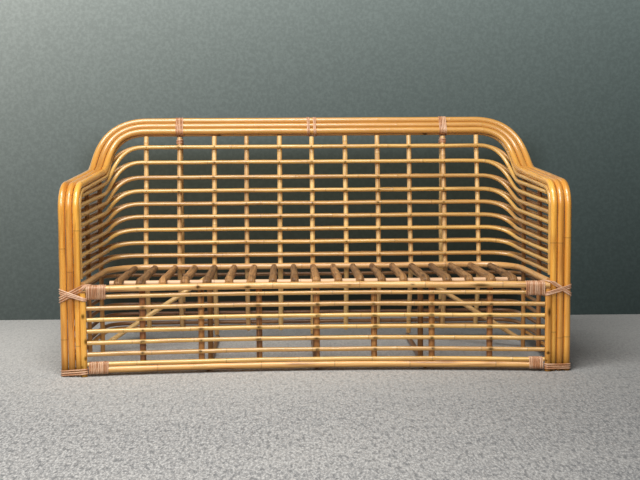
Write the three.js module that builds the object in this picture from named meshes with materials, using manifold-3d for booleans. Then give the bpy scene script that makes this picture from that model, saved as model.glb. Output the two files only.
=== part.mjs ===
// Three-seat garden sofa of rattan poles: bundled frame poles, pencil-pole lattice,
// slatted seat, front grille and cane lashings.
// Millimetres, +Z up, the front faces -Y. Depths are measured back from the line of the front posts,
// and the finished group is moved so that the origin is under the middle of the footprint.
import * as THREE from 'three';
import { mergeVertices } from 'three/addons/utils/BufferGeometryUtils.js';
import Module from 'manifold-3d';

const wasm = await Module();
wasm.setup();

// Overall sizes
const overallWidth = 1860;
const postStraightHeight = 601;   // posts rise straight to here, then bend back over the arm
const armBendRadius = 89.5;
const armSlope = THREE.MathUtils.degToRad(3.6);
const armToe = THREE.MathUtils.degToRad(2.75);   // the arms close in toward the back
const topPoleHeight = 900.5;       // middle pole of the top rail
const topPoleSetback = 3.4;       // and how far it lies behind the line of the back uprights
const topCornerDepth = 211;       // from the arm's end, where the rear corner sweep begins, to there
const topCornerWidth = 211;       // from the posts' middle pole in to the straight of the top rail
const topLean = THREE.MathUtils.degToRad(54);   // lean of the three poles of the top rail
const sweepArmReach = 155;        // how far the corner sweep keeps the arm's direction
const sweepTopReach = 199;        // how far it keeps the top rail's direction
const trimTuck = THREE.MathUtils.degToRad(57);  // the edge trim lies this far round the inner pole
const shortPostTurn = THREE.MathUtils.degToRad(35);   // and a short post this far round its front

// Pole diameters
const framePoleDiameter = 25.5;
const shortPostDiameter = 23.4;
const pencilDiameter = 16;
const uprightDiameter = 19;
const frontUprightDiameter = 23;
const bottomPoleDiameter = 25;
const ringDiameter = 25;
const baseRailDiameter = 18;
const stayDiameter = 24;
const legDiameter = 22;
const braceDiameter = 20;
const bearerDiameter = 20;

// Clearance between pieces that touch, and the bite of pieces that are nailed into each other
const seatGap = 0.3;
const caneClearance = 1.2;        // behind a lashing, to what butts against it
const nailBite = 2;
const weldTolerance = 0.003;
const stayTopDrop = 13;           // the rear stays end this far under the middle of the edge trim

// Back and arm lattice
const railCount = 9;
const railArmDrop = 37.5;          // the top rails' drop under the arm, at the front
const railFrontRise = 29;         // the lowest rails' rise over the seat ring, at the front
const railTopDrop = 85.5;          // and under the top rail, across the back
const railBackRise = 41;          // and across the back
const railBackShares = [1, 0.858, 0.719, 0.594, 0.475, 0.357, 0.238, 0.118, 0];
const railArmRise = 19.4;         // climb of the highest rails along the arm
const innerRailInset = 8.5;       // of the inner rails' front ends from the inner post's middle
const latticeCornerWidth = 160.15;   // from there in to a rail's straight stretch across the back
const latticeCornerDepth = 105;   // from where a rail starts round the rear corner to the uprights
const latticeArmShare = 0.84;     // reach of the corner's handles as shares of its own depth and width
const latticeBackShare = 0.85;
const backRake = THREE.MathUtils.degToRad(10.5);
const uprightSeatDepth = 625;     // depth of the back uprights at the knee
const kneeDrop = 13;              // of the knee under the seat ring
const uprightFootHeight = 45;
const kneeRadius = 90;
const backUprightCount = 11;
const uprightEndInset = 13;       // of the outermost back uprights from the end of that stretch
const standingEvery = 3;          // every third back upright runs on down to a floor strut
const lashedEvery = 4;            // every fourth one stops under a lashing of the top rail
const armUprightDepth = 250;
const rearArmUprightInset = 15;   // before the place where the rails start round the corner

// Lower rails round the sides and the back, level with the front pencils
const lowerRailDrop = 43;         // the highest one's drop under the seat ring
const lowerRailRise = 22;         // and the lowest one's rise over the base rail
const lowerRailCount = 6;
const baseRailHeight = 58;

// Seat
const frontBow = 64;              // the front curves back by this much in the middle
const seatRailHeight = 318.4;
const seatPencilDrop = 28.4;
const ringRise = 14.6;            // this and the next ones are measured from the seat rail
const slatFrontRise = 19.6;
const slatRearRise = 8.6;
const frontBearerRise = 9.6;
const ringCornerRadius = 165;
const slatCount = 19;
const slatEndInset = 129.05;      // of the outermost slats from the ring's front ends
const slatFrontDiameter = 29;
const slatRearDiameter = 25;
const frontBearerDepth = 78;
const frontBearerInset = 117.65;
const midBearerDepth = 230;
const midBearerInset = 92.65;

// Front grille
const grillePencilCount = 5;
const grilleFootSpace = 36.7;     // from the pencil on the bottom pole up to the lowest one
const bottomPoleHeight = 22.5;
const frontUprightCount = 7;
const frontUprightInset = 207.9;  // of the outermost front uprights from the short posts

// Floor struts, legs and braces
const legPlaces = [-402, 0, 402];
const braceTopPlace = 400;
const braceFootHeight = 32;

// Cane lashings
const caneWidth = 5.6;
const caneThickness = 2.4;
const canePitch = 6.3;
const crossPitch = 6.5;
const caneCrownShare = 0.62;      // width of the strand's outer face against its inner one
const caneArcStep = THREE.MathUtils.degToRad(52);
const caneCrossGap = 0.5;         // between the strands of a cross lashing where they pass over
const seatWrapTurns = 11;
const bottomWrapTurns = { left: 11, right: 8 };
const footBandTurns = 3;
const crossTurns = 3;
const sideWrapTurns = 5;
const centreWrapTurns = 4;
const centreWrapSplit = 14;
const seatWrapClearance = 1.2;    // to the side of the short post
const bottomWrapClearance = 6;
const footBandHeight = 5;
const crossOuterDrop = 41.4;      // these four are measured from the seat rail
const crossOuterRise = 0.6;
const crossInnerDrop = 52.4;
const crossInnerRise = 23.6;

// Facets
const poleSides = 10;
const pencilSides = 6;
const railSides = 8;
const uprightSides = 8;
const bendSteps = 6;
const sweepSteps = 12;
const cornerSteps = 6;
const ringCornerSteps = 6;
const bowSpans = 10;

// The rounded rear end of a slat, as shares of its radius and of its own length
const domeLengthShare = 0.45;
const domeShoulderShare = 0.7;
const domeShoulderPlace = 0.25;

// Sizes worked out from the ones above
const poleRadius = framePoleDiameter / 2;
const pencilRadius = pencilDiameter / 2;
const uprightRadius = uprightDiameter / 2;
const polePitch = framePoleDiameter + seatGap;
const middlePostX = overallWidth / 2 - poleRadius - polePitch;
const innerPostX = middlePostX - polePitch;
const shortPostRadius = shortPostDiameter / 2;
const shortPostReach = poleRadius + seatGap + shortPostRadius;
const shortPostX = innerPostX - shortPostReach * Math.cos(shortPostTurn);
const shortPostDepth = -shortPostReach * Math.sin(shortPostTurn);
const trimReach = poleRadius + seatGap + pencilRadius;
const trimOffset = -(polePitch + trimReach * Math.cos(trimTuck));
const trimDrop = trimReach * Math.sin(trimTuck);
const latticeStep = uprightRadius + pencilRadius + seatGap;
const innerRailX = innerPostX - innerRailInset;
const armUprightX = innerRailX + latticeStep;
const outerRailX = armUprightX + latticeStep;
const ringHeight = seatRailHeight + ringRise;
const slatFrontHeight = seatRailHeight + slatFrontRise;
const slatRearHeight = seatRailHeight + slatRearRise;
const frontBearerHeight = seatRailHeight + frontBearerRise;
const seatPencilHeight = seatRailHeight - seatPencilDrop;
const crossOuterLow = seatRailHeight - crossOuterDrop;
const crossOuterHigh = seatRailHeight + crossOuterRise;
const crossInnerLow = seatRailHeight - crossInnerDrop;
const crossInnerHigh = seatRailHeight + crossInnerRise;
const uprightKneeHeight = ringHeight - kneeDrop;
const topPoleDepth = uprightDepth(topPoleHeight) + topPoleSetback;
const armEndDepth = topPoleDepth - topCornerDepth;
const topStraightHalf = middlePostX - topCornerWidth;
const railFrontBottom = ringHeight + railFrontRise;
const railBackBottom = ringHeight + railBackRise;
const lowerRailTop = ringHeight - lowerRailDrop;
const lowerRailPitch = (lowerRailTop - baseRailHeight - lowerRailRise) / (lowerRailCount - 1);
const railFrontTop = postStraightHeight + armBendRadius - railArmDrop;
const railBackTop = topPoleHeight - railTopDrop;
const latticeStraightHalf = innerRailX - latticeCornerWidth;
const latticeArmEnd = uprightSeatDepth - latticeCornerDepth;
const armUprightDepths = [armUprightDepth, latticeArmEnd - rearArmUprightInset];
const backUprightSpacing = (2 * (latticeStraightHalf - uprightEndInset)) / (backUprightCount - 1);
const sideWrapPlace = lashedEvery * backUprightSpacing;
const ringRadius = ringDiameter / 2;
const ringRearDepth = uprightSeatDepth - uprightRadius - seatGap - ringRadius;
const ringSideX = armUprightX - uprightRadius - seatGap - ringRadius;
const ringCornerDepth = ringRearDepth - ringCornerRadius;
const ringCornerX = armLineX(ringSideX, ringCornerDepth + ringCornerRadius * Math.sin(armToe))
  - ringCornerRadius * Math.cos(armToe);
const slatSpacing = (2 * (ringSideX - slatEndInset)) / (slatCount - 1);
const frontUprightSpacing = (2 * (shortPostX - frontUprightInset)) / (frontUprightCount - 1);
const bottomPoleRadius = bottomPoleDiameter / 2;
const bottomPencilHeight = bottomPoleHeight + bottomPoleRadius + seatGap + pencilRadius;
const grillePencilPitch = (seatPencilHeight - bottomPencilHeight - grilleFootSpace) / grillePencilCount;
const baseRailRadius = baseRailDiameter / 2;
const stayRadius = stayDiameter / 2;
const topRailRear = uprightDepth(railBackTop) + latticeStep / Math.cos(backRake) + pencilRadius;
const stayDepth = topRailRear + seatGap + stayRadius;
const legRadius = legDiameter / 2;
const baseRailDepth = stayDepth - stayRadius - seatGap - baseRailRadius;
const uprightBaseDepth = baseRailDepth - baseRailRadius - uprightRadius + nailBite;
const uprightSplay = Math.atan2(uprightBaseDepth - uprightSeatDepth, uprightKneeHeight - baseRailHeight);
const crossDepth = 2 * caneThickness + seatGap + caneCrossGap + caneClearance;
const lashingReach = (caneThickness + seatGap) / Math.cos(caneArcStep / 2) + caneClearance;
const bandReach = (shortPostRadius + seatGap + caneThickness) / Math.cos(caneArcStep / 2);
const crossMiddle = (crossTurns - 1) / 2;
const trimFootHeight = crossInnerHigh + crossMiddle * crossPitch + caneWidth / 2 + caneClearance;

const colours = {
  frame: { color: 0xc98a3c, roughness: 0.38 },
  pencil: { color: 0xd9a85c, roughness: 0.42 },
  upright: { color: 0xc08a48, roughness: 0.45 },
  slat: { color: 0x8a6a44, roughness: 0.75 },
  under: { color: 0x8f6232, roughness: 0.6 },
  cane: { color: 0xb98a66, roughness: 0.6 },
};

const sofa = new THREE.Group();

function addPiece(name, geometry, finish) {
  const material = new THREE.MeshStandardMaterial({ ...colours[finish], metalness: 0 });
  const mesh = new THREE.Mesh(geometry, material);
  mesh.name = name;
  sofa.add(mesh);
  return mesh;
}

// A chain of stations with a ring of the pole at each one, so straight runs need no rings between.
class StationPath extends THREE.Curve {
  constructor(stations) {
    super();
    this.stations = stations;
  }

  getPoint(t, target = new THREE.Vector3()) {
    const last = this.stations.length - 1;
    const place = Math.min(Math.max(t, 0), 1) * last;
    const index = Math.min(Math.floor(place), last - 1);
    return target.copy(this.stations[index]).lerp(this.stations[index + 1], place - index);
  }

  getTangent(t, target = new THREE.Vector3()) {
    const last = this.stations.length - 1;
    const index = Math.round(Math.min(Math.max(t, 0), 1) * last);
    const before = this.stations[Math.max(index - 1, 0)];
    const here = this.stations[index];
    const after = this.stations[Math.min(index + 1, last)];
    const incoming = here.clone().sub(before).normalize();
    const outgoing = after.clone().sub(here).normalize();
    return target.copy(incoming).add(outgoing).normalize();
  }

  getUtoTmapping(u) {
    return u;
  }
}

// A round pole through the stations, with a regular polygon as its section.
function poleGeometry(stations, diameter, sides) {
  const section = new THREE.Shape();
  for (let side = 0; side < sides; side += 1) {
    const angle = (side / sides) * Math.PI * 2;
    const x = Math.cos(angle) * diameter / 2;
    const y = Math.sin(angle) * diameter / 2;
    if (side === 0) section.moveTo(x, y);
    else section.lineTo(x, y);
  }
  section.closePath();
  return new THREE.ExtrudeGeometry(section, {
    steps: stations.length - 1,
    extrudePath: new StationPath(stations),
    bevelEnabled: false,
  });
}

function point(x, y, z) {
  return new THREE.Vector3(x, y, z);
}

function mirrored(stations) {
  return stations.map((station) => point(-station.x, station.y, station.z));
}

// Joins a right half, listed from its front end to the middle, to its own mirror image.
function bothHalves(half) {
  return [...half, ...mirrored(half).reverse()];
}

// Solids that are nailed together into one piece
function asManifold(geometry) {
  const bare = geometry.clone();
  bare.deleteAttribute('normal');
  bare.deleteAttribute('uv');
  const merged = mergeVertices(bare, weldTolerance);
  return new wasm.Manifold(new wasm.Mesh({
    numProp: 3,
    vertProperties: new Float32Array(merged.attributes.position.array),
    triVerts: new Uint32Array(merged.index.array),
  }));
}

function joined(geometries) {
  const solid = geometries.map(asManifold).reduce((whole, next) => whole.add(next));
  const mesh = solid.getMesh();
  const geometry = new THREE.BufferGeometry();
  geometry.setAttribute('position', new THREE.BufferAttribute(new Float32Array(mesh.vertProperties), 3));
  geometry.setIndex(new THREE.BufferAttribute(new Uint32Array(mesh.triVerts), 1));
  geometry.computeVertexNormals();
  return geometry;
}

// Place across the width, at a depth, of what keeps beside the right arm and starts at x
function armLineX(x, depth) {
  return x - depth * Math.tan(armToe);
}

// The bundle: post, bend, arm, rear corner sweep and top rail of the right half. Each station has
// the direction across the bundle, from its inner to its outer pole, and the one to its under side.
function bundleStations() {
  const stations = [];
  const outward = point(1, 0, 0);
  const upward = point(0, 0, 1);
  const rearward = point(-Math.sin(armToe), Math.cos(armToe), 0);
  const topAcross = point(0, Math.cos(topLean), Math.sin(topLean));
  const addStation = (place, tangent, facing) => {
    const across = facing.clone().addScaledVector(tangent, -facing.dot(tangent)).normalize();
    stations.push({ place, across, under: tangent.clone().cross(across) });
  };
  addStation(point(middlePostX, 0, 0), upward, outward);
  const bendAngle = Math.PI / 2 - armSlope;
  const bendStart = point(middlePostX, 0, postStraightHeight);
  for (let step = 0; step <= bendSteps; step += 1) {
    const angle = (step / bendSteps) * bendAngle;
    const place = bendStart.clone()
      .addScaledVector(rearward, armBendRadius * (1 - Math.cos(angle)))
      .addScaledVector(upward, armBendRadius * Math.sin(angle));
    const tangent = upward.clone().multiplyScalar(Math.cos(angle));
    addStation(place, tangent.addScaledVector(rearward, Math.sin(angle)), outward);
  }
  const bendEnd = stations[stations.length - 1].place;
  const along = upward.clone().multiplyScalar(Math.sin(armSlope));
  along.addScaledVector(rearward, Math.cos(armSlope));
  const armEnd = bendEnd.clone().addScaledVector(along, (armEndDepth - bendEnd.y) / along.y);
  const sweepEnd = point(topStraightHalf, topPoleDepth, topPoleHeight);
  const sweep = new THREE.CubicBezierCurve3(
    armEnd,
    armEnd.clone().addScaledVector(along, sweepArmReach),
    sweepEnd.clone().addScaledVector(outward, sweepTopReach),
    sweepEnd,
  );
  for (let step = 0; step <= sweepSteps; step += 1) {
    const share = step / sweepSteps;
    const facing = outward.clone().lerp(topAcross, THREE.MathUtils.smoothstep(share, 0, 1));
    addStation(sweep.getPoint(share), sweep.getTangent(share), facing);
  }
  return stations;
}

const bundle = bundleStations();

function lane(offset, drop = 0) {
  return bundle.map(({ place, across, under }) => (
    place.clone().addScaledVector(across, offset).addScaledVector(under, drop)
  ));
}

// Height of the arm's middle pole at a depth
function armPoleHeight(depth) {
  const [from, to] = bundle.slice(bendSteps + 1).map(({ place }) => place);
  return THREE.MathUtils.mapLinear(depth, from.y, to.y, from.z, to.z);
}

// Depth of a post's rear side at a height, round the arm bend, for its reach behind the post line
function postRear(height, reach) {
  const rise = height - postStraightHeight;
  if (rise <= 0) return reach;
  const inner = (armBendRadius - reach) * Math.cos((Math.PI / 2 - armSlope) / bendSteps / 2);
  return armBendRadius - Math.sqrt(inner * inner - rise * rise);
}

// Depth of the back uprights at a height: raked above the knee, splayed back below it
function uprightDepth(height) {
  if (height >= uprightKneeHeight) {
    return uprightSeatDepth + (height - uprightKneeHeight) * Math.tan(backRake);
  }
  const share = (uprightKneeHeight - height) / (uprightKneeHeight - baseRailHeight);
  return uprightSeatDepth + share * (uprightBaseDepth - uprightSeatDepth);
}

// One rail from the right front post along the arm, round the rear corner and across the back
function railStations({ sideX, startDepth, frontHeight, backHeight, backDepth, armRise = 0 }) {
  const armEnd = point(armLineX(sideX, latticeArmEnd), latticeArmEnd, frontHeight + armRise);
  const start = point(armLineX(sideX, startDepth), startDepth, frontHeight);
  const along = armEnd.clone().sub(start).normalize();
  const backEnd = point(latticeStraightHalf, backDepth, backHeight);
  const corner = new THREE.CubicBezierCurve3(
    armEnd,
    armEnd.clone().addScaledVector(along, latticeArmShare * (backDepth - latticeArmEnd)),
    backEnd.clone().add(point(latticeBackShare * (armEnd.x - latticeStraightHalf), 0, 0)),
    backEnd,
  );
  return bothHalves([start, ...corner.getPoints(cornerSteps)]);
}

function railHeights() {
  const rails = [];
  for (let row = 0; row < railCount; row += 1) {
    const share = row / (railCount - 1);
    rails.push({
      front: THREE.MathUtils.lerp(railFrontTop, railFrontBottom, share),
      back: THREE.MathUtils.lerp(railBackBottom, railBackTop, railBackShares[row]),
      armRise: railArmRise * (1 - share),
    });
  }
  return rails;
}

function addFramePoles() {
  const names = ['frame_pole_outer', 'frame_pole_middle', 'frame_pole_inner'];
  names.forEach((name, index) => {
    const offset = (1 - index) * polePitch;
    addPiece(name, poleGeometry(bothHalves(lane(offset)), framePoleDiameter, poleSides), 'frame');
  });
}

function addEdgeTrim() {
  const stations = lane(trimOffset, trimDrop);
  stations[0].z = trimFootHeight;
  addPiece('edge_trim', poleGeometry(bothHalves(stations), pencilDiameter, uprightSides), 'pencil');
}

function addLatticeRails() {
  railHeights().forEach(({ front, back, armRise }, index) => {
    const number = index + 1;
    const leaned = latticeStep / Math.cos(backRake);
    const inner = railStations({
      sideX: innerRailX,
      startDepth: postRear(front + pencilRadius, trimDrop + pencilRadius) + seatGap,
      frontHeight: front,
      backHeight: back,
      armRise,
      backDepth: uprightDepth(back) - leaned,
    });
    addPiece(`inner_rail_${number}`, poleGeometry(inner, pencilDiameter, railSides), 'pencil');
    const outer = railStations({
      sideX: outerRailX,
      startDepth: postRear(front + pencilRadius, poleRadius) + seatGap,
      frontHeight: front,
      backHeight: back,
      armRise,
      backDepth: uprightDepth(back) + leaned,
    });
    addPiece(`outer_rail_${number}`, poleGeometry(outer, pencilDiameter, railSides), 'pencil');
  });
}

function addLowerRails() {
  for (let row = 0; row < lowerRailCount; row += 1) {
    const height = lowerRailTop - row * lowerRailPitch;
    const stations = railStations({
      sideX: outerRailX,
      startDepth: poleRadius + (row === 0 ? crossDepth : seatGap),
      frontHeight: height,
      backHeight: height,
      backDepth: uprightDepth(height) + latticeStep / Math.cos(uprightSplay),
    });
    addPiece(`lower_rail_${row + 1}`, poleGeometry(stations, pencilDiameter, pencilSides), 'under');
  }
}

// A back upright: raked from the trim down to the seat, a knee, then splayed to its foot
function backUprightStations(x, footHeight, lashed) {
  const across = point(x, 0, 0);
  const trimEnd = lane(trimOffset, trimDrop)[bundle.length - 1];
  const topHeight = trimEnd.z - pencilRadius - seatGap - (lashed ? lashingReach : 0);
  const knee = kneeRadius * Math.sin(backRake);
  const heights = [topHeight, uprightKneeHeight + knee, uprightKneeHeight - knee, footHeight];
  return heights.map((height) => point(0, uprightDepth(height), height).add(across));
}

// All uprights of the back and arms, nailed to the base rail that runs round behind them
function addUprightComb() {
  const pieces = [];
  const middle = (backUprightCount - 1) / 2;
  const strutTop = legDiameter + seatGap + uprightRadius * Math.sin(uprightSplay);
  for (let index = 0; index < backUprightCount; index += 1) {
    const fromMiddle = index - middle;
    const standing = fromMiddle % standingEvery === 0;
    const footHeight = standing ? strutTop : uprightFootHeight;
    const lashed = fromMiddle % lashedEvery === 0;
    const stations = backUprightStations(fromMiddle * backUprightSpacing, footHeight, lashed);
    pieces.push(poleGeometry(stations, uprightDiameter, uprightSides));
  }
  for (const side of [-1, 1]) {
    armUprightDepths.forEach((depth, index) => {
      const foot = index === armUprightDepths.length - 1 ? 0 : uprightFootHeight;
      const drop = poleRadius / Math.cos(armSlope) + uprightRadius * Math.tan(armSlope) + seatGap;
      const x = side * armLineX(armUprightX, depth);
      const top = point(x, depth, armPoleHeight(depth) - drop);
      const bottom = point(x, depth, foot);
      pieces.push(poleGeometry([top, bottom], uprightDiameter, uprightSides));
    });
  }
  const base = railStations({
    sideX: armUprightX + uprightRadius + baseRailRadius - nailBite,
    startDepth: poleRadius + seatGap,
    frontHeight: baseRailHeight,
    backHeight: baseRailHeight,
    backDepth: baseRailDepth,
  });
  pieces.push(poleGeometry(base, baseRailDiameter, uprightSides));
  addPiece('upright_comb', joined(pieces), 'upright');
}

// The bowed front is a chain of straight spans between knots that all its pieces share
const bowSpan = (2 * shortPostX) / bowSpans;
const bowKnots = Array.from({ length: bowSpans + 1 }, (_, index) => shortPostX - index * bowSpan);

function knotDepth(x) {
  const share = x / shortPostX;
  return shortPostDepth + frontBow * (1 - share * share);
}

// How far back the bowed front lies at a place across the width
function frontDepth(x) {
  const index = Math.min(Math.max(Math.floor((shortPostX - x) / bowSpan), 0), bowSpans - 1);
  const share = (bowKnots[index] - x) / bowSpan;
  return THREE.MathUtils.lerp(knotDepth(bowKnots[index]), knotDepth(bowKnots[index + 1]), share);
}

function bowedStations(half, height) {
  const inner = bowKnots.filter((x) => Math.abs(x) < half - pencilDiameter);
  return [half, ...inner, -half].map((x) => point(x, frontDepth(x), height));
}

function addShortPosts() {
  const top = seatRailHeight - poleRadius - seatGap;
  for (const [word, side] of [['left', -1], ['right', 1]]) {
    const x = side * shortPostX;
    const stations = [point(x, shortPostDepth, 0), point(x, shortPostDepth, top)];
    addPiece(`short_post_${word}`, poleGeometry(stations, shortPostDiameter, poleSides), 'frame');
  }
}

function addSeatFront() {
  const bowAngle = Math.atan2(knotDepth(bowKnots[1]) - shortPostDepth, bowSpan);
  const railHalf = innerPostX - poleRadius - seatGap - poleRadius * Math.sin(bowAngle);
  const rail = bowedStations(railHalf, seatRailHeight);
  addPiece('seat_front_rail', poleGeometry(rail, framePoleDiameter, poleSides), 'frame');
  const pencilHalf = shortPostX - shortPostRadius - seatGap;
  const pencil = bowedStations(pencilHalf, seatPencilHeight);
  addPiece('seat_front_pencil', poleGeometry(pencil, pencilDiameter, pencilSides), 'pencil');
}

function addSeatRing() {
  const front = poleRadius + caneThickness + caneClearance;
  const half = [point(armLineX(ringSideX, front), front, ringHeight)];
  for (let step = 0; step <= ringCornerSteps; step += 1) {
    const angle = THREE.MathUtils.lerp(armToe, Math.PI / 2, step / ringCornerSteps);
    const x = ringCornerX + ringCornerRadius * Math.cos(angle);
    const y = ringCornerDepth + ringCornerRadius * Math.sin(angle);
    half.push(point(x, y, ringHeight));
  }
  addPiece('seat_ring', poleGeometry(bothHalves(half), ringDiameter, uprightSides), 'frame');
}

// Depth of the ring's front face behind the seat, for a slat's outer edge at x
function ringFaceDepth(x) {
  const inward = ringCornerRadius - ringRadius;
  const past = Math.max(Math.abs(x) + slatRearDiameter / 2 - ringCornerX, 0);
  return ringCornerDepth + Math.sqrt(inward * inward - past * past);
}

// A slat: a tapered pole with a rounded rear end, turned about its own axis
function slatGeometry(length) {
  const front = slatFrontDiameter / 2;
  const rear = slatRearDiameter / 2;
  const dome = rear * domeLengthShare;
  const profile = [
    new THREE.Vector2(0, 0),
    new THREE.Vector2(front, 0),
    new THREE.Vector2(rear, length - dome),
    new THREE.Vector2(rear * domeShoulderShare, length - dome * domeShoulderPlace),
    new THREE.Vector2(0, length),
  ];
  return new THREE.LatheGeometry(profile, uprightSides);
}

// The seat deck: the slats, let into the bearers that carry them
function addSeatDeck() {
  const pieces = [];
  const middle = (slatCount - 1) / 2;
  for (let index = 0; index < slatCount; index += 1) {
    const x = (index - middle) * slatSpacing;
    const rearEnd = ringFaceDepth(x) - seatGap;
    const frontEnd = frontDepth(x) + poleRadius + caneClearance;
    const start = point(x, frontEnd, slatFrontHeight);
    const end = point(x, rearEnd, slatRearHeight);
    const slat = slatGeometry(start.distanceTo(end));
    const turn = new THREE.Quaternion().setFromUnitVectors(
      point(0, 1, 0),
      end.clone().sub(start).normalize(),
    );
    slat.applyQuaternion(turn);
    slat.translate(start.x, start.y, start.z);
    pieces.push(slat);
  }
  const frontBearerHalf = ringSideX - frontBearerInset;
  const frontBearer = [
    point(-frontBearerHalf, frontBearerDepth, frontBearerHeight),
    point(frontBearerHalf, frontBearerDepth, frontBearerHeight),
  ];
  const midBearerHalf = ringSideX - midBearerInset;
  const midBearer = [
    point(-midBearerHalf, midBearerDepth, midBearerHeight()),
    point(midBearerHalf, midBearerDepth, midBearerHeight()),
  ];
  pieces.push(poleGeometry(frontBearer, bearerDiameter, uprightSides));
  pieces.push(poleGeometry(midBearer, bearerDiameter, uprightSides));
  addPiece('seat_deck', joined(pieces), 'slat');
}

function midBearerHeight() {
  const share = midBearerDepth / ringRearDepth;
  const slatHeight = THREE.MathUtils.lerp(slatFrontHeight, slatRearHeight, share);
  return slatHeight - slatFrontDiameter / 2 - bearerDiameter / 2 + nailBite;
}

function addGrille() {
  const half = shortPostX - shortPostRadius - seatGap;
  for (let row = 0; row < grillePencilCount; row += 1) {
    const stations = bowedStations(half, seatPencilHeight - (row + 1) * grillePencilPitch);
    addPiece(`grille_pencil_${row + 1}`, poleGeometry(stations, pencilDiameter, pencilSides), 'pencil');
  }
  const low = bowedStations(half, bottomPencilHeight);
  addPiece('bottom_pencil', poleGeometry(low, pencilDiameter, pencilSides), 'pencil');
  const poleHalf = shortPostX - bandReach - seatGap;
  const bottomPole = bowedStations(poleHalf, bottomPoleHeight);
  const pieces = [poleGeometry(bottomPole, bottomPoleDiameter, uprightSides)];
  const middle = (frontUprightCount - 1) / 2;
  const radius = frontUprightDiameter / 2;
  const setBack = pencilRadius + seatGap + radius;
  for (let index = 0; index < frontUprightCount; index += 1) {
    const x = (index - middle) * frontUprightSpacing;
    const depth = frontDepth(x) + setBack;
    const top = point(x, depth, seatRailHeight - poleRadius);
    const bottom = point(x, depth, bottomPoleHeight);
    pieces.push(poleGeometry([top, bottom], frontUprightDiameter, uprightSides));
  }
  addPiece('grille_frame', joined(pieces), 'under');
}

// Three legs under the seat, each on a strut that lies on the floor from the front pole to the rear
function addMidLegs() {
  const words = ['left', 'centre', 'right'];
  legPlaces.forEach((x, index) => {
    const front = frontDepth(x) + pencilRadius + seatGap + frontUprightDiameter + seatGap;
    const rear = stayDepth;
    const strut = [point(x, front, legRadius), point(x, rear, legRadius)];
    const top = midBearerHeight() - bearerDiameter / 2 - seatGap;
    const leg = [point(x, midBearerDepth, legRadius), point(x, midBearerDepth, top)];
    const pieces = [
      poleGeometry(strut, legDiameter, uprightSides),
      poleGeometry(leg, legDiameter, uprightSides),
    ];
    addPiece(`mid_leg_${words[index]}`, joined(pieces), 'under');
  });
}

// Braces from the feet of the rear arm uprights up to the underside of the ring
function addBraces() {
  const radius = braceDiameter / 2;
  const footDepth = armUprightDepths[armUprightDepths.length - 1];
  const rise = ringHeight - ringRadius - braceFootHeight;
  const uprightX = armLineX(armUprightX, footDepth);
  const run = Math.hypot(uprightX - braceTopPlace, ringRearDepth - footDepth);
  const slant = Math.atan2(rise, run);
  const footX = uprightX - uprightRadius - seatGap - radius * Math.sin(slant);
  const topHeight = ringHeight - ringRadius - seatGap - radius * Math.cos(slant);
  for (const [word, side] of [['left', -1], ['right', 1]]) {
    const low = point(side * footX, footDepth, braceFootHeight);
    const high = point(side * braceTopPlace, ringRearDepth, topHeight);
    addPiece(`brace_${word}`, poleGeometry([low, high], braceDiameter, uprightSides), 'under');
  }
}

function addRearStays() {
  const middle = (backUprightCount - 1) / 2;
  const x = (middle - 1) * backUprightSpacing;
  const top = lane(trimOffset, trimDrop)[bundle.length - 1].z - stayTopDrop;
  for (const [word, side] of [['left', -1], ['right', 1]]) {
    const stations = [point(side * x, stayDepth, top), point(side * x, stayDepth, uprightFootHeight)];
    addPiece(`rear_stay_${word}`, poleGeometry(stations, stayDiameter, uprightSides), 'upright');
  }
}

// Cane lashings. A strand's place is given by how far it lies across the row of poles that it
// ties, how far out to one side of that row, and how far along the poles.

// Corners of the polygon that a strand follows round a loop of poles, listed in the order in which
// it meets them. The polygon's sides touch circles that are larger than the poles by the lift, and
// a turn starts in the middle of the run from the last pole to the first.
function turnCorners(loop, lift = seatGap) {
  const facings = loop.map((to, index) => {
    const from = loop[(index + loop.length - 1) % loop.length];
    const across = to.across - from.across;
    const out = to.out - from.out;
    return Math.atan2(out, across) - Math.acos((from.radius - to.radius) / Math.hypot(across, out));
  });
  return loop.flatMap((circle, index) => {
    const span = THREE.MathUtils.euclideanModulo(
      facings[(index + 1) % loop.length] - facings[index],
      Math.PI * 2,
    );
    const steps = Math.ceil(span / caneArcStep);
    const mitre = 1 / Math.cos(span / steps / 2);
    return Array.from({ length: steps }, (_, step) => {
      const angle = facings[index] + (span * (2 * step + 1)) / (2 * steps);
      const reach = (circle.radius + lift) * mitre;
      return {
        circle: index,
        across: circle.across + Math.cos(angle) * reach,
        out: circle.out + Math.sin(angle) * reach,
        leanAcross: Math.cos(angle) * mitre,
        leanOut: Math.sin(angle) * mitre,
      };
    });
  });
}

// The stations of a number of turns, with the station before the first and the one after the last
function turnStations(corners, turns, along) {
  const stationAt = (turn, index) => ({ ...corners[index], along: along(turn, index, corners) });
  const stations = [];
  for (let turn = 0; turn < turns; turn += 1) {
    corners.forEach((_, index) => stations.push(stationAt(turn, index)));
  }
  return { stations, before: stationAt(-1, corners.length - 1), after: stationAt(turns, 0) };
}

function runMiddle(from, to) {
  const across = to.across - from.across;
  const out = to.out - from.out;
  const length = Math.hypot(across, out);
  const facing = Math.sign(out * from.leanAcross - across * from.leanOut);
  return {
    across: (from.across + to.across) / 2,
    out: (from.out + to.out) / 2,
    along: (from.along + to.along) / 2,
    leanAcross: (facing * out) / length,
    leanOut: (-facing * across) / length,
  };
}

function strandRing({ across, out, along, leanAcross, leanOut }, toWorld) {
  const half = caneWidth / 2;
  const crown = half * caneCrownShare;
  const crownAcross = across + leanAcross * caneThickness;
  const crownOut = out + leanOut * caneThickness;
  return [
    toWorld(across, out, along - half),
    toWorld(across, out, along + half),
    toWorld(crownAcross, crownOut, along + crown),
    toWorld(crownAcross, crownOut, along - crown),
  ];
}

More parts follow.
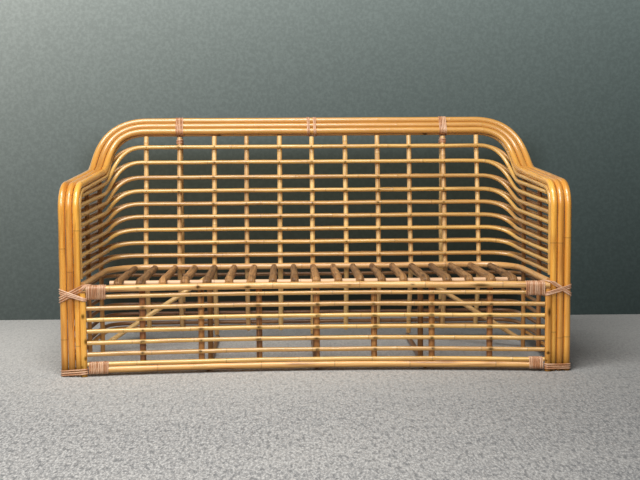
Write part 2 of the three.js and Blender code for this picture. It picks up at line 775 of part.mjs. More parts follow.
function signedVolume(positions, indices) {
  const corner = (index) => point(...positions.slice(index * 3, index * 3 + 3));
  let volume = 0;
  for (let place = 0; place < indices.length; place += 3) {
    const [a, b, c] = indices.slice(place, place + 3).map(corner);
    volume += a.dot(b.cross(c));
  }
  return volume;
}

// Least distance between different turns of a strand, measured on points along its four edges
function leastGap(rings, stationsPerTurn) {
  const samplesPerSpan = 4;
  const samples = [];
  for (let index = 0; index < rings.length - 1; index += 1) {
    for (let sample = 0; sample < samplesPerSpan; sample += 1) {
      rings[index].forEach((from, edge) => {
        const spot = from.clone().lerp(rings[index + 1][edge], sample / samplesPerSpan);
        samples.push({ spot, turn: (index + sample / samplesPerSpan) / stationsPerTurn });
      });
    }
  }
  let least = Infinity;
  samples.forEach((one, index) => {
    for (let other = index + 1; other < samples.length; other += 1) {
      if (samples[other].turn - one.turn > 1 / 2) {
        least = Math.min(least, one.spot.distanceTo(samples[other].spot));
      }
    }
  });
  return least;
}

// One unbroken strand through its stations
function addLashing(name, stations, stationsPerTurn, toWorld) {
  const rings = stations.map((station) => strandRing(station, toWorld));
  const sides = rings[0].length;
  const positions = rings.flat().flatMap(({ x, y, z }) => [x, y, z]);
  const indices = [0, 2, 1, 0, 3, 2];
  for (let ring = 0; ring < rings.length - 1; ring += 1) {
    for (let side = 0; side < sides; side += 1) {
      const a = ring * sides + side;
      const b = ring * sides + ((side + 1) % sides);
      indices.push(a, b, b + sides, a, b + sides, a + sides);
    }
  }
  const end = (rings.length - 1) * sides;
  indices.push(end, end + 1, end + 2, end, end + 2, end + 3);
  if (signedVolume(positions, indices) < 0) indices.reverse();
  const geometry = new THREE.BufferGeometry();
  geometry.setAttribute('position', new THREE.Float32BufferAttribute(positions, 3));
  geometry.setIndex(indices);
  geometry.computeVertexNormals();
  addPiece(name, geometry, 'cane');
  console.log(`${name}: least gap between turns ${leastGap(rings, stationsPerTurn).toFixed(2)} mm`);
}

// A plain lashing that climbs by one pitch a turn, with an optional split after some of its turns
function addWrap(name, { loop, turns, start, splitTurn = turns, split = 0, toWorld }) {
  const corners = turnCorners(loop);
  const along = (turn, index) => {
    const place = turn + (2 * index + 1) / (2 * corners.length);
    return start + place * canePitch + (turn >= splitTurn && splitTurn < turns ? split : 0);
  };
  const { stations, before, after } = turnStations(corners, turns, along);
  const first = runMiddle(before, stations[0]);
  const last = runMiddle(stations[stations.length - 1], after);
  addLashing(name, [first, ...stations, last], corners.length, toWorld);
}

function addTopLashings() {
  const loop = [
    { across: polePitch, out: 0, radius: poleRadius },
    { across: -polePitch, out: 0, radius: poleRadius },
    { across: trimOffset, out: -trimDrop, radius: pencilRadius },
  ];
  const toWorld = (across, out, along) => point(
    along,
    topPoleDepth + across * Math.cos(topLean) - out * Math.sin(topLean),
    topPoleHeight + across * Math.sin(topLean) + out * Math.cos(topLean),
  );
  const sideStart = (sideWrapTurns * canePitch) / 2;
  for (const [word, side] of [['left', -1], ['right', 1]]) {
    const start = side * sideWrapPlace - sideStart;
    addWrap(`lashing_top_${word}`, { loop, turns: sideWrapTurns, start, toWorld });
  }
  addWrap('lashing_top_centre', {
    loop,
    turns: centreWrapTurns,
    start: -(centreWrapTurns * canePitch + centreWrapSplit) / 2,
    splitTurn: centreWrapTurns / 2,
    split: centreWrapSplit,
    toWorld,
  });
}

// Lashings of the seat rail to its pencil and of the bottom pole to its pencil, next to the posts
function addFrontLashings() {
  const postSide = shortPostX - shortPostRadius;
  const seatLoop = [
    { across: seatRailHeight, out: 0, radius: poleRadius },
    { across: seatPencilHeight, out: 0, radius: pencilRadius },
  ];
  const bottomLoop = [
    { across: bottomPencilHeight, out: 0, radius: pencilRadius },
    { across: bottomPoleHeight, out: 0, radius: bottomPoleRadius },
  ];
  for (const [word, side] of [['left', -1], ['right', 1]]) {
    const toWorld = (across, out, along) => point(side * along, frontDepth(along) - out, across);
    addWrap(`lashing_seat_${word}`, {
      loop: seatLoop,
      turns: seatWrapTurns,
      start: postSide - seatWrapClearance - seatWrapTurns * canePitch,
      toWorld,
    });
    addWrap(`lashing_bottom_${word}`, {
      loop: bottomLoop,
      turns: bottomWrapTurns[word],
      start: postSide - bottomWrapClearance - bottomWrapTurns[word] * canePitch,
      toWorld,
    });
  }
}

// Bands round the feet of the four posts, and crossed lashings round them at the seat
function addPostLashings() {
  const outerPost = { across: middlePostX + polePitch, out: 0, radius: poleRadius };
  const innerPost = { across: innerPostX, out: 0, radius: poleRadius };
  const shortPost = { across: shortPostX, out: -shortPostDepth, radius: shortPostRadius };
  const allPosts = [outerPost, shortPost, innerPost];
  const under = turnCorners([outerPost, innerPost]);
  const over = turnCorners(allPosts, seatGap + caneThickness + caneCrossGap);
  const underAlong = (turn, index, corners) => {
    const height = corners[index].circle === 0 ? crossOuterLow : crossInnerHigh;
    return height + (turn - crossMiddle) * crossPitch;
  };
  const overAlong = (turn, index, corners) => {
    const height = corners[index].circle === 0 ? crossOuterHigh : crossInnerLow;
    return height + (crossMiddle - turn) * crossPitch;
  };
  const first = turnStations(under, crossTurns, underAlong);
  const second = turnStations(over, crossTurns, overAlong);
  const crossed = [
    runMiddle(first.before, first.stations[0]),
    ...first.stations,
    ...second.stations,
    runMiddle(second.stations[second.stations.length - 1], second.after),
  ];
  for (const [word, side] of [['left', -1], ['right', 1]]) {
    const toWorld = (across, out, along) => point(side * across, -out, along);
    addLashing(`lashing_post_${word}`, crossed, over.length, toWorld);
    addWrap(`lashing_foot_${word}`, {
      loop: allPosts,
      turns: footBandTurns,
      start: footBandHeight,
      toWorld,
    });
  }
}

addFramePoles();
addEdgeTrim();
addLatticeRails();
addLowerRails();
addUprightComb();
addShortPosts();
addSeatFront();
addSeatRing();
addSeatDeck();
addGrille();
addMidLegs();
addBraces();
addRearStays();
addTopLashings();
addFrontLashings();
addPostLashings();

const box = new THREE.Box3().setFromObject(sofa);
sofa.position.set(0, -(box.min.y + box.max.y) / 2, -box.min.z);
sofa.updateMatrixWorld(true);

export default sofa;
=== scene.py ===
"""Rattan garden sofa: smooth poles, cane lashings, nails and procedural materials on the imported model."""
import random
from math import acos, asin, atan2, ceil, cos, exp, hypot, inf, pi, radians, sin, sqrt, tan

import bmesh
import bpy
from mathutils import Matrix, Vector


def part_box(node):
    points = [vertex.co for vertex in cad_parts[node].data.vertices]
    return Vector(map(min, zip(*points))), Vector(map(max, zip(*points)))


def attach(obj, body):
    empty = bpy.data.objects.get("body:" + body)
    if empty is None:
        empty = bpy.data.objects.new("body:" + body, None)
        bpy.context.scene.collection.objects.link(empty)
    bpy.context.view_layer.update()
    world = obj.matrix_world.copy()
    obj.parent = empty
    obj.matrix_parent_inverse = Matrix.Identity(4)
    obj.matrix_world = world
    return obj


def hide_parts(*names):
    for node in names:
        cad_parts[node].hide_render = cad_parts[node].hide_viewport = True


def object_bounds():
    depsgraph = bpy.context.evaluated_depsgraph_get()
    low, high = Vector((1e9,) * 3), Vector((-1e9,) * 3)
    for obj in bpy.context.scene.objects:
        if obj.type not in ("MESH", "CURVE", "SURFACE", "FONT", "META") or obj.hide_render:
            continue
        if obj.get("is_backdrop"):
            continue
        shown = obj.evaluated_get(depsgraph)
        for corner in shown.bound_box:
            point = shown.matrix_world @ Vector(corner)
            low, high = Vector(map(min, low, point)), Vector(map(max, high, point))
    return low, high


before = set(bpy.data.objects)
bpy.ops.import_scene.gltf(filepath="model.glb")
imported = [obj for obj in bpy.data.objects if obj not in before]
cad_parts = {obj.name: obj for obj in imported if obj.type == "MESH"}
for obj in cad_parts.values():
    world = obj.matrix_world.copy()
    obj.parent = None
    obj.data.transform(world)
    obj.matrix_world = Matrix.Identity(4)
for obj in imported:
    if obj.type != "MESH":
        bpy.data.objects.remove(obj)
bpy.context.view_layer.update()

MM = 0.001
SIDES = (("left", -1), ("right", 1))

# Sizes in millimetres, with depths measured back from the post line. They are the CAD model's, apart
# from the ones whose comment says otherwise.
WIDTH = 1860
POST_STRAIGHT = 601
ARM_BEND = 89.5
ARM_SLOPE, ARM_TOE = radians(3.6), radians(2.75)
TOP_HEIGHT, TOP_SETBACK, TOP_CORNER_DEPTH, TOP_CORNER_WIDTH = 900.5, 3.4, 211, 211
TOP_LEAN, SHORT_TURN = radians(54), radians(35)
TRIM_TUCK, TOP_TUCK = radians(66), radians(88)  # 57 degrees all along in the CAD
SWEEP_ARM, SWEEP_TOP = 155, 199
FRAME_D, SHORT_D, PENCIL_D, UPRIGHT_D, FRONT_UPRIGHT_D = 25.5, 23.4, 16, 19, 23
BOTTOM_D, RING_D, BASE_D, STAY_D, LEG_D, BRACE_D, BEARER_D = 25, 25, 18, 24, 22, 20, 20
GAP, BITE, CANE_BACK = 0.3, 2, 1.2
SEAT_Z = 318.4
RING_Z, SLAT_Z = SEAT_Z + 14.6, (SEAT_Z + 19.6, SEAT_Z + 8.6)
FRONT_BEARER_Z, SEAT_PENCIL_Z = SEAT_Z + 9.6, SEAT_Z - 28.4
RAIL_FRONT = (POST_STRAIGHT + ARM_BEND - 37.5, RING_Z + 29)
RAIL_BACK = (TOP_HEIGHT - 85.5, RING_Z + 41)
RAIL_SHARES = (1, 0.858, 0.719, 0.594, 0.475, 0.357, 0.238, 0.118, 0)
RAIL_RISE, RAIL_ARM, RAIL_BACKWARD = 19.4, 0.84, 0.85
RAKE = radians(10.5)
SEAT_DEPTH, KNEE_Z, FOOT_Z, KNEE_R = 625, RING_Z - 13, 45, 90
UPRIGHTS, UPRIGHT_STEP = 11, 136.8
UPRIGHT_OFF = {-3: 7, -2: 3, -1: 3, 1: 2, 2: -1, 3: -6, 5: 3}  # sideways, in the photo and not in the CAD
UPRIGHT_FULLER = 1.07  # the back uprights' thickness, as a share of the CAD's
LOWERS, BASE_Z = 6, 58
LOWER_TOP = RING_Z - 43
LOWER_STEP = (LOWER_TOP - BASE_Z - 22) / (LOWERS - 1)
BOW, RING_CORNER = 64, 165
RING_SAG = 4.5  # the seat ring and the braces' upper ends hang this far below the CAD's
SLATS, SLAT_STEP, SLAT_D = 19, 80.4, (33, 26)  # 29 and 25 thick in the CAD
FRONT_BEARER, MID_BEARER = (78, 760), (230, 760)  # depth and half length; the CAD's front one is 25 shorter
GRILLES, BOTTOM_Z = 5, 22.5
FRONT_UPRIGHTS, FRONT_STEP = 7, 212.5
LEGS = (("left", -402), ("centre", 0), ("right", 402))
BRACE_TOP, BRACE_FOOT, STAY_DROP = 400, 32, 13
CANE_W, CANE_T, CANE_STEP, CROSS_STEP, CROSS_GAP = 5.6, 2.4, 6.3, 6.5, 0.5
CANE_CORNER = cos(radians(26))  # a strand's corners stand out by its thickness over this
SEAT_TURNS, SIDE_TURNS, CENTRE_TURNS, TIE_TURNS = 11, 5, 4, 3
BOTTOM_TURNS = {"left": 11, "right": 8}
CENTRE_SPLIT, SEAT_CLEAR, BOTTOM_CLEAR, RAIL_CLEAR, CROSS_PAST = 14, 1.2, 6, 2, 2
INNER_HIGH = SEAT_Z + 23.6

# Height at the outer post and fall inward of each turn of the crossed lashings and foot bands, with
# the place where a climbing strand goes over the seat rail. The CAD's foot bands are level, and the
# inner ends of its crossed lashings lie up to 17 mm further from the seat rail.
FALLING = {"left": ((302.5, 0.27), (310, 0.305), (318, 0.35)), "right": ((306, 0.255), (312, 0.27), (318, 0.285))}
CLIMBING = {"left": ((270.5, 0.53, 824), (279.5, 0.53, 832), (288.5, 0.53, 840)),
            "right": ((277, 0.66, 833), (281.6, 0.67, 840), (286.2, 0.67, 847))}
FOOT_BANDS = {"left": ((4.2, -0.085), (11.6, -0.085), (19.6, -0.09)),
              "right": ((8.5, -0.03), (16, -0.03), (23.6, -0.03))}

# Dark marks: place on the face, half length, half width and strength. A short post's are given by
# place across, height and half length, the seat rail's by place across and height above its middle.
POST_KNOTS = {"left": ((-845, 221, 9), (-837, 129, 10), (-838, 67, 9), (-852, 36, 6)),
              "right": ((847.6, 219, 15), (844, 69, 7), (838, 40, 5))}
SEAT_MARKS = ((601, -1, 32, 6.4, 1.0), (-433, 1, 8, 6, 1.0), (-252, -3, 12, 5.5, 0.95),
              (-650, 2, 6, 4, 0.7), (120, 0, 7, 3.6, 0.7), (352, 2, 8, 3.6, 0.8))
TRIM_MARKS = (-384, 473)

POLE_R, PENCIL_R, UPRIGHT_R, SHORT_R = FRAME_D / 2, PENCIL_D / 2, UPRIGHT_D / 2, SHORT_D / 2
PITCH = FRAME_D + GAP
MIDDLE_X = WIDTH / 2 - POLE_R - PITCH
INNER_X = MIDDLE_X - PITCH
SHORT_X = INNER_X - (POLE_R + GAP + SHORT_R) * cos(SHORT_TURN)
SHORT_Y = -(POLE_R + GAP + SHORT_R) * sin(SHORT_TURN)
TRIM_REACH = POLE_R + GAP + PENCIL_R
TRIM_DROP = TRIM_REACH * sin(TRIM_TUCK)
LATTICE = UPRIGHT_R + PENCIL_R + GAP
INNER_RAIL_X = INNER_X - 8.5
ARM_UPRIGHT_X = INNER_RAIL_X + LATTICE
OUTER_RAIL_X = ARM_UPRIGHT_X + LATTICE
RAIL_HALF = INNER_RAIL_X - 160.15
RAIL_ARM_END = SEAT_DEPTH - 105
ARM_UPRIGHTS = (250, RAIL_ARM_END - 15)
TOP_DEPTH = SEAT_DEPTH + (TOP_HEIGHT - KNEE_Z) * tan(RAKE) + TOP_SETBACK
TOP_HALF = MIDDLE_X - TOP_CORNER_WIDTH
ARM_END = TOP_DEPTH - TOP_CORNER_DEPTH
RING_R = RING_D / 2
RING_REAR = SEAT_DEPTH - UPRIGHT_R - GAP - RING_R
RING_X = ARM_UPRIGHT_X - UPRIGHT_R - GAP - RING_R
BOTTOM_R = BOTTOM_D / 2
BOTTOM_PENCIL_Z = BOTTOM_Z + BOTTOM_R + GAP + PENCIL_R
GRILLE_STEP = (SEAT_PENCIL_Z - BOTTOM_PENCIL_Z - 36.7) / GRILLES
STAY_DEPTH = (SEAT_DEPTH + (RAIL_BACK[0] - KNEE_Z) * tan(RAKE) + LATTICE / cos(RAKE)
              + PENCIL_R + GAP + STAY_D / 2)
STAY_X = 4 * UPRIGHT_STEP
BASE_R, LEG_R, BRACE_R, BEARER_R = BASE_D / 2, LEG_D / 2, BRACE_D / 2, BEARER_D / 2
BASE_DEPTH = STAY_DEPTH - STAY_D / 2 - GAP - BASE_R
FOOT_DEPTH = BASE_DEPTH - BASE_R - UPRIGHT_R + BITE
SPLAY = atan2(FOOT_DEPTH - SEAT_DEPTH, KNEE_Z - BASE_Z)
SHIFT = STAY_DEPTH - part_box("mid_leg_centre")[1].y / MM


def place(v):
    """A point in the sofa's millimetres, as one in the frame's metres."""
    return Vector((v[0], v[1] - SHIFT, v[2])) * MM


# Materials ----

MIX_A, MIX_B, MIX_RESULT = 6, 7, 2  # a mix node's colour sockets
VARNISH_IOR, VARNISH_ROUGH = 1.7, 0.27
UPPER_FROM, UPPER_TO, UPPER_SHARE = 0.64, 0.86, 0.75  # metres up, where the frame poles turn paler


class Nodes:
    """A small builder of the shader nodes of one material or world."""

    def __init__(self, name, kept_in=bpy.data.materials):
        self.owner = kept_in.new(name)
        self.owner.use_nodes = True
        self.tree = self.owner.node_tree
        self.tree.nodes.clear()

    def put(self, socket, value):
        if isinstance(value, bpy.types.NodeSocket):
            self.tree.links.new(value, socket)
        else:
            socket.default_value = value

    def node(self, kind, inputs=(), **settings):
        """A new shader node with settings, and with inputs given by name or number."""
        made = self.tree.nodes.new("ShaderNode" + kind)
        for key, value in settings.items():
            setattr(made, key, value)
        for key, value in dict(inputs).items():
            self.put(made.inputs[key], value)
        return made

    def attribute(self, name, output="Fac"):
        return self.node("Attribute", attribute_name=name).outputs[output]

    def where(self, kind="Object"):
        return self.node("TexCoord").outputs[kind]

    def split(self, vector):
        return self.node("SeparateXYZ", {0: vector}).outputs

    def math(self, operation, *values):
        return self.node("Math", enumerate(values), operation=operation).outputs[0]

    def times(self, a, b):
        return self.math("MULTIPLY", a, b)

    def scaled(self, vector, scale, shift=(0, 0, 0)):
        made = self.node("VectorMath", enumerate((vector, scale, shift)), operation="MULTIPLY_ADD")
        return made.outputs[0]

    def moved_grain(self, own, along, across=0.0):
        """The grain's coordinates, moved by a pole's own number so that no two poles look the same."""
        shift = self.node("CombineXYZ", {0: self.times(own, across), 2: self.times(own, along)})
        return self.scaled(self.attribute("grain", "Vector"), (1, 1, 1), shift.outputs[0])

    def noise(self, vector, scale, detail, roughness, distortion=0.0):
        """Noise with one scale for all directions, or with one for each."""
        if isinstance(scale, tuple):
            vector, scale = self.scaled(vector, scale), 1.0
        inputs = {"Vector": vector, "Scale": scale, "Detail": detail, "Roughness": roughness,
                  "Distortion": distortion}
        return self.node("TexNoise", inputs).outputs[0]

    def ramp(self, value, low, high, to_low=0.0, to_high=1.0):
        """A smooth change from one level to another between two values."""
        inputs = {"Value": value, "From Min": low, "From Max": high, "To Min": to_low, "To Max": to_high}
        return self.node("MapRange", inputs, interpolation_type="SMOOTHSTEP").outputs[0]

    def mix(self, share, a, b):
        """Colour a with a share of colour b."""
        a, b = (c if isinstance(c, bpy.types.NodeSocket) else (*c, 1) for c in (a, b))
        return self.node("Mix", {0: share, MIX_A: a, MIX_B: b}, data_type="RGBA").outputs[MIX_RESULT]

    def tinted(self, colour, value, hue=0.5):
        return self.node("HueSaturation", {"Value": value, "Hue": hue, "Color": colour}).outputs[0]

    def finish(self, colour, roughness, height, strength, distance, coat=0.0, coat_rough=0.2, gloss=0.5):
        """The finished material, with the height as bumps of a strength and a distance in metres."""
        bump = self.node("Bump", {"Strength": strength, "Distance": distance, "Height": height})
        shader = self.node("BsdfPrincipled", {
            "Base Color": colour, "Roughness": roughness, "Normal": bump.outputs[0], "Specular IOR Level": gloss,
            "Coat Weight": coat, "Coat Roughness": coat_rough, "Coat IOR": VARNISH_IOR,
        })
        self.node("OutputMaterial", {0: shader.outputs[0]})
        return self.owner


def linear(r, g, b):
    """A colour picked as 0-255 screen values, as linear light."""
    return tuple((c / 255 / 12.92) if c / 255 <= 0.04045 else ((c / 255 + 0.055) / 1.055) ** 2.4 for c in (r, g, b))


def dimmed(colour, share):
    return tuple(c * share for c in colour)


def rattan(name, body, pale, dark, speck, varnish, rough, patches, upper=None):
    """Peeled or varnished rattan: long fibres, specks, fine splits, node rings, stains and painted shade low
    down, both without varnish, and shifts of tone from pole to pole."""
    n = Nodes(name)
    body, pale, dark = linear(*body), linear(*pale), linear(*dark)
    own, ring, marks_and_shade = n.attribute("own"), n.attribute("ring"), n.attribute("marks_and_shade")
    grain = n.moved_grain(own, 37.0, 11.0)
    fibres = n.noise(grain, (9, 9, 7), 3.0, 0.6)
    fine = n.noise(grain, (26, 26, 16), 2.0, 0.6)
    broad = n.noise(grain, (0.6, 0.6, 4.5), 2.0, 0.5)
    specks = n.noise(grain, (7, 7, 260), 1.0, 0.5)
    split = n.ramp(n.noise(grain, (5, 5, 9), 0.0, 0.5), 0.795, 0.82)
    colour = n.mix(n.ramp(fibres, 0.35, 0.68), body, pale)
    colour = n.mix(n.times(n.ramp(broad, 0.5, 0.72), patches), colour, dark)
    colour = n.tinted(colour, n.ramp(own, 0.0, 1.0, 0.82, 1.14), n.ramp(own, 0.0, 1.0, 0.494, 0.505))
    colour = n.mix(n.times(n.ramp(fine, 0.56, 0.72), 0.35 * speck + 0.12), colour, dark)
    colour = n.mix(n.times(n.ramp(specks, 0.70, 0.76), speck), colour, dimmed(dark, 0.35))
    colour = n.mix(split, colour, dimmed(dark, 0.12))
    colour = n.mix(n.times(ring, 0.5), colour, dimmed(dark, 0.42))
    if upper:
        height = n.split(n.where())[2]
        colour = n.mix(n.ramp(height, UPPER_FROM, UPPER_TO, 0.0, UPPER_SHARE), colour, linear(*upper))
    colour = n.mix(n.times(marks_and_shade, n.ramp(fibres, 0.3, 0.6, 1.0, 0.8)), colour, dimmed(dark, 0.08))
    height = n.math("SUBTRACT", n.math("ADD", n.times(fibres, 0.5), n.times(ring, -0.6)), split)
    clear = n.math("SUBTRACT", 1.0, marks_and_shade)
    rougher = n.math("MULTIPLY_ADD", marks_and_shade, 0.4, n.ramp(fine, 0.3, 0.7, rough - 0.06, rough + 0.12))
    return n.finish(colour, rougher, height, 0.35, 0.0006, n.times(clear, varnish), VARNISH_ROUGH,
                    n.times(clear, 0.5))


def bark(name, body, pale, dark):
    """Unpeeled pole: rough, streaked and dusty, with scars."""
    n = Nodes(name)
    body, pale, dark = linear(*body), linear(*pale), linear(*dark)
    own = n.attribute("own")
    grain = n.moved_grain(own, 53.0)
    long = n.noise(grain, (3.2, 3.2, 6), 4.0, 0.65, 0.3)
    fine = n.noise(grain, (16, 16, 22), 3.0, 0.7)
    patch = n.noise(grain, (1.2, 1.2, 11), 3.0, 0.6)
    colour = n.mix(n.ramp(long, 0.36, 0.66), body, pale)
    colour = n.mix(n.times(n.ramp(fine, 0.48, 0.70), 0.75), colour, dark)
    colour = n.mix(n.times(n.ramp(patch, 0.52, 0.66), 0.6), colour, dimmed(dark, 0.5))
    colour = n.tinted(colour, n.ramp(own, 0.0, 1.0, 0.72, 1.25))
    colour = n.mix(n.times(n.attribute("ring"), 0.7), colour, dimmed(dark, 0.4))
    height = n.math("ADD", n.times(long, 0.9), n.times(fine, 0.4))
    return n.finish(colour, 0.62, height, 0.75, 0.0012, 0.12, 0.4)


def cane(name):
    """Split cane: flat shiny strands, each its own tone, with fine lines along them."""
    n = Nodes(name)
    grain = n.moved_grain(n.attribute("own"), 29.0)
    tone = n.noise(grain, (0.5, 0.5, 14), 2.0, 0.6)
    fine = n.noise(grain, (14, 14, 40), 2.0, 0.6)
    colour = n.mix(n.ramp(tone, 0.36, 0.64), linear(186, 128, 88), linear(226, 184, 150))
    colour = n.mix(n.times(n.ramp(fine, 0.5, 0.72), 0.6), colour, linear(120, 70, 46))
    return n.finish(colour, 0.42, fine, 0.4, 0.0004, 0.25, 0.25)


def iron(name):
    """Dark nail iron with a little rust."""
    n = Nodes(name)
    rust = n.noise(n.where(), 300.0, 3.0, 0.6)
    colour = n.mix(n.ramp(rust, 0.4, 0.6), linear(38, 26, 18), linear(70, 44, 28))
    return n.finish(colour, 0.6, rust, 0.4, 0.0004)


def concrete(name):
    """Plain floor with a fine grain, with painted light towards the back and painted shade to the right."""
    n = Nodes(name)
    where = n.where()
    broad = n.noise(where, (0.9, 1.6, 1), 4.0, 0.6, 0.8)
    cloud = n.noise(where, 6.0, 5.0, 0.7, 0.5)
    grit = n.noise(n.scaled(where, (1, 0.35, 1)), 150.0, 3.0, 0.75)
    specks = n.noise(n.scaled(where, (1, 0.3, 1)), 80.0, 2.0, 0.6)
    right, back, _ = n.split(where)
    colour = n.mix(n.ramp(broad, 0.3, 0.7), linear(134, 134, 134), linear(150, 149, 147))
    # Cloudy patches, grit and specks, then painted light towards the back and painted shade to the right
    for value, low, high, share, tone in (
            (cloud, 0.42, 0.72, 0.45, (116, 117, 119)), (grit, 0.42, 0.64, 0.8, (196, 195, 192)),
            (specks, 0.5, 0.66, 0.6, (86, 88, 91)), (back, -1.5, 0.8, 0.5, (232, 231, 226)),
            (right, -0.4, 1.5, 0.42, (72, 74, 77))):
        colour = n.mix(n.times(n.ramp(value, low, high), share), colour, linear(*tone))
    return n.finish(colour, 0.8, n.math("ADD", grit, n.times(cloud, 0.6)), 0.6, 0.003)


# Body, pale and dark tone, then the shares of specks, varnish, roughness and dark patches
HONEY = rattan("honey_pole", (232, 154, 48), (248, 190, 88), (160, 88, 20), 0.45, 0.7, 0.3, 0.5, (206, 154, 82))
PALE = rattan("pale_pencil", (208, 156, 78), (234, 192, 112), (150, 96, 40), 0.55, 0.6, 0.3, 0.45)
UPRIGHT = rattan("upright_pole", (226, 176, 104), (248, 212, 146), (158, 104, 48), 0.7, 0.45, 0.36, 0.5)
TAN = rattan("tan_pole", (220, 162, 86), (246, 202, 132), (150, 92, 40), 0.8, 0.45, 0.36, 0.75)
UNDER = rattan("under_pole", (122, 80, 38), (152, 106, 58), (72, 42, 18), 0.8, 0.25, 0.44, 0.7)
BROWN = rattan("front_upright", (164, 106, 52), (202, 146, 86), (86, 46, 20), 0.9, 0.3, 0.4, 0.9)
BOTTOM = rattan("bottom_pole", (204, 142, 74), (234, 184, 114), (130, 76, 32), 0.8, 0.45, 0.36, 0.75)
ARM = rattan("arm_pole", (168, 114, 56), (204, 150, 86), (96, 54, 22), 0.8, 0.3, 0.42, 0.7)
OUTSIDE = rattan("outer_pencil", (184, 130, 62), (216, 166, 94), (124, 74, 30), 0.6, 0.4, 0.36, 0.5)
BEARER = rattan("bearer_pole", (232, 188, 140), (246, 212, 172), (176, 120, 74), 0.5, 0.1, 0.5, 0.4)
BARK = bark("slat_bark", (136, 94, 52), (186, 140, 88), (66, 40, 18))
CANE = cane("split_cane")
NAIL = iron("nail_head")


# Geometry ----

# Stations along a pole: beside a node ring and near its ends in millimetres, beside a mark as shares of
# its half length, and in a rounded end as shares of the rounding
RING_STATIONS = (-5.5, -2.6, -1.1, 0, 1.1, 2.6, 5.5)
MARK_STATIONS = (-1.5, -1.1, -0.75, -0.4, 0, 0.4, 0.75, 1.1, 1.5)
CAP_STATIONS = (0.08, 0.25, 0.55, 1.0)
RING_CLEAR, STATION_CLEAR, STILL_END = 12, 0.35, 60
RING_SWELL, RING_LINE, NO_RING = 5.0, 1.7, 99  # half widths of a ring's swelling and of its dark line
WAVES = ((0, 71, 0.5), (1, 93, 0.5), (0, 31, 0.18), (1, 27, 0.18))  # axis, length and height of a pole's waves
GIRTH_WAVE, CUT_END = (43, 0.012), 0.1  # length and height of the changes in girth; the least girth at a rounded end
FULL_TURN = 2 * pi


def smooth(points, step):
    """Points about a step apart along the chain of given points."""
    out = [points[0]]
    for a, b in zip(points, points[1:]):
        count = max(1, round((b - a).length / step))
        out += [a.lerp(b, k / count) for k in range(1, count + 1)]
    return out


def bezier(a, b, c, d, count):
    made = []
    for k in range(count + 1):
        t = k / count
        s = 1 - t
        made.append(a * s**3 + b * (3 * s * s * t) + c * (3 * s * t * t) + d * t**3)
    return made


def eased(t):
    """0 to 1, slow at both ends."""
    return t * t * (3 - 2 * t)


def both(half):
    """A right half and its mirror image, as one chain from the right end to the left one."""
    return half + [Vector((-p.x, p.y, p.z)) for p in reversed(half)]


def heading(chain, index, t):
    """The direction of a chain at a share of the span after an index, turning evenly from span to span."""
    spans = [(chain[k + 1] - chain[k]).normalized() for k in (max(index - 1, 0), index, min(index + 1, len(chain) - 2))]
    before, after = (spans[0] + spans[1]).normalized(), (spans[1] + spans[2]).normalized()
    return before.lerp(after, t).normalized()


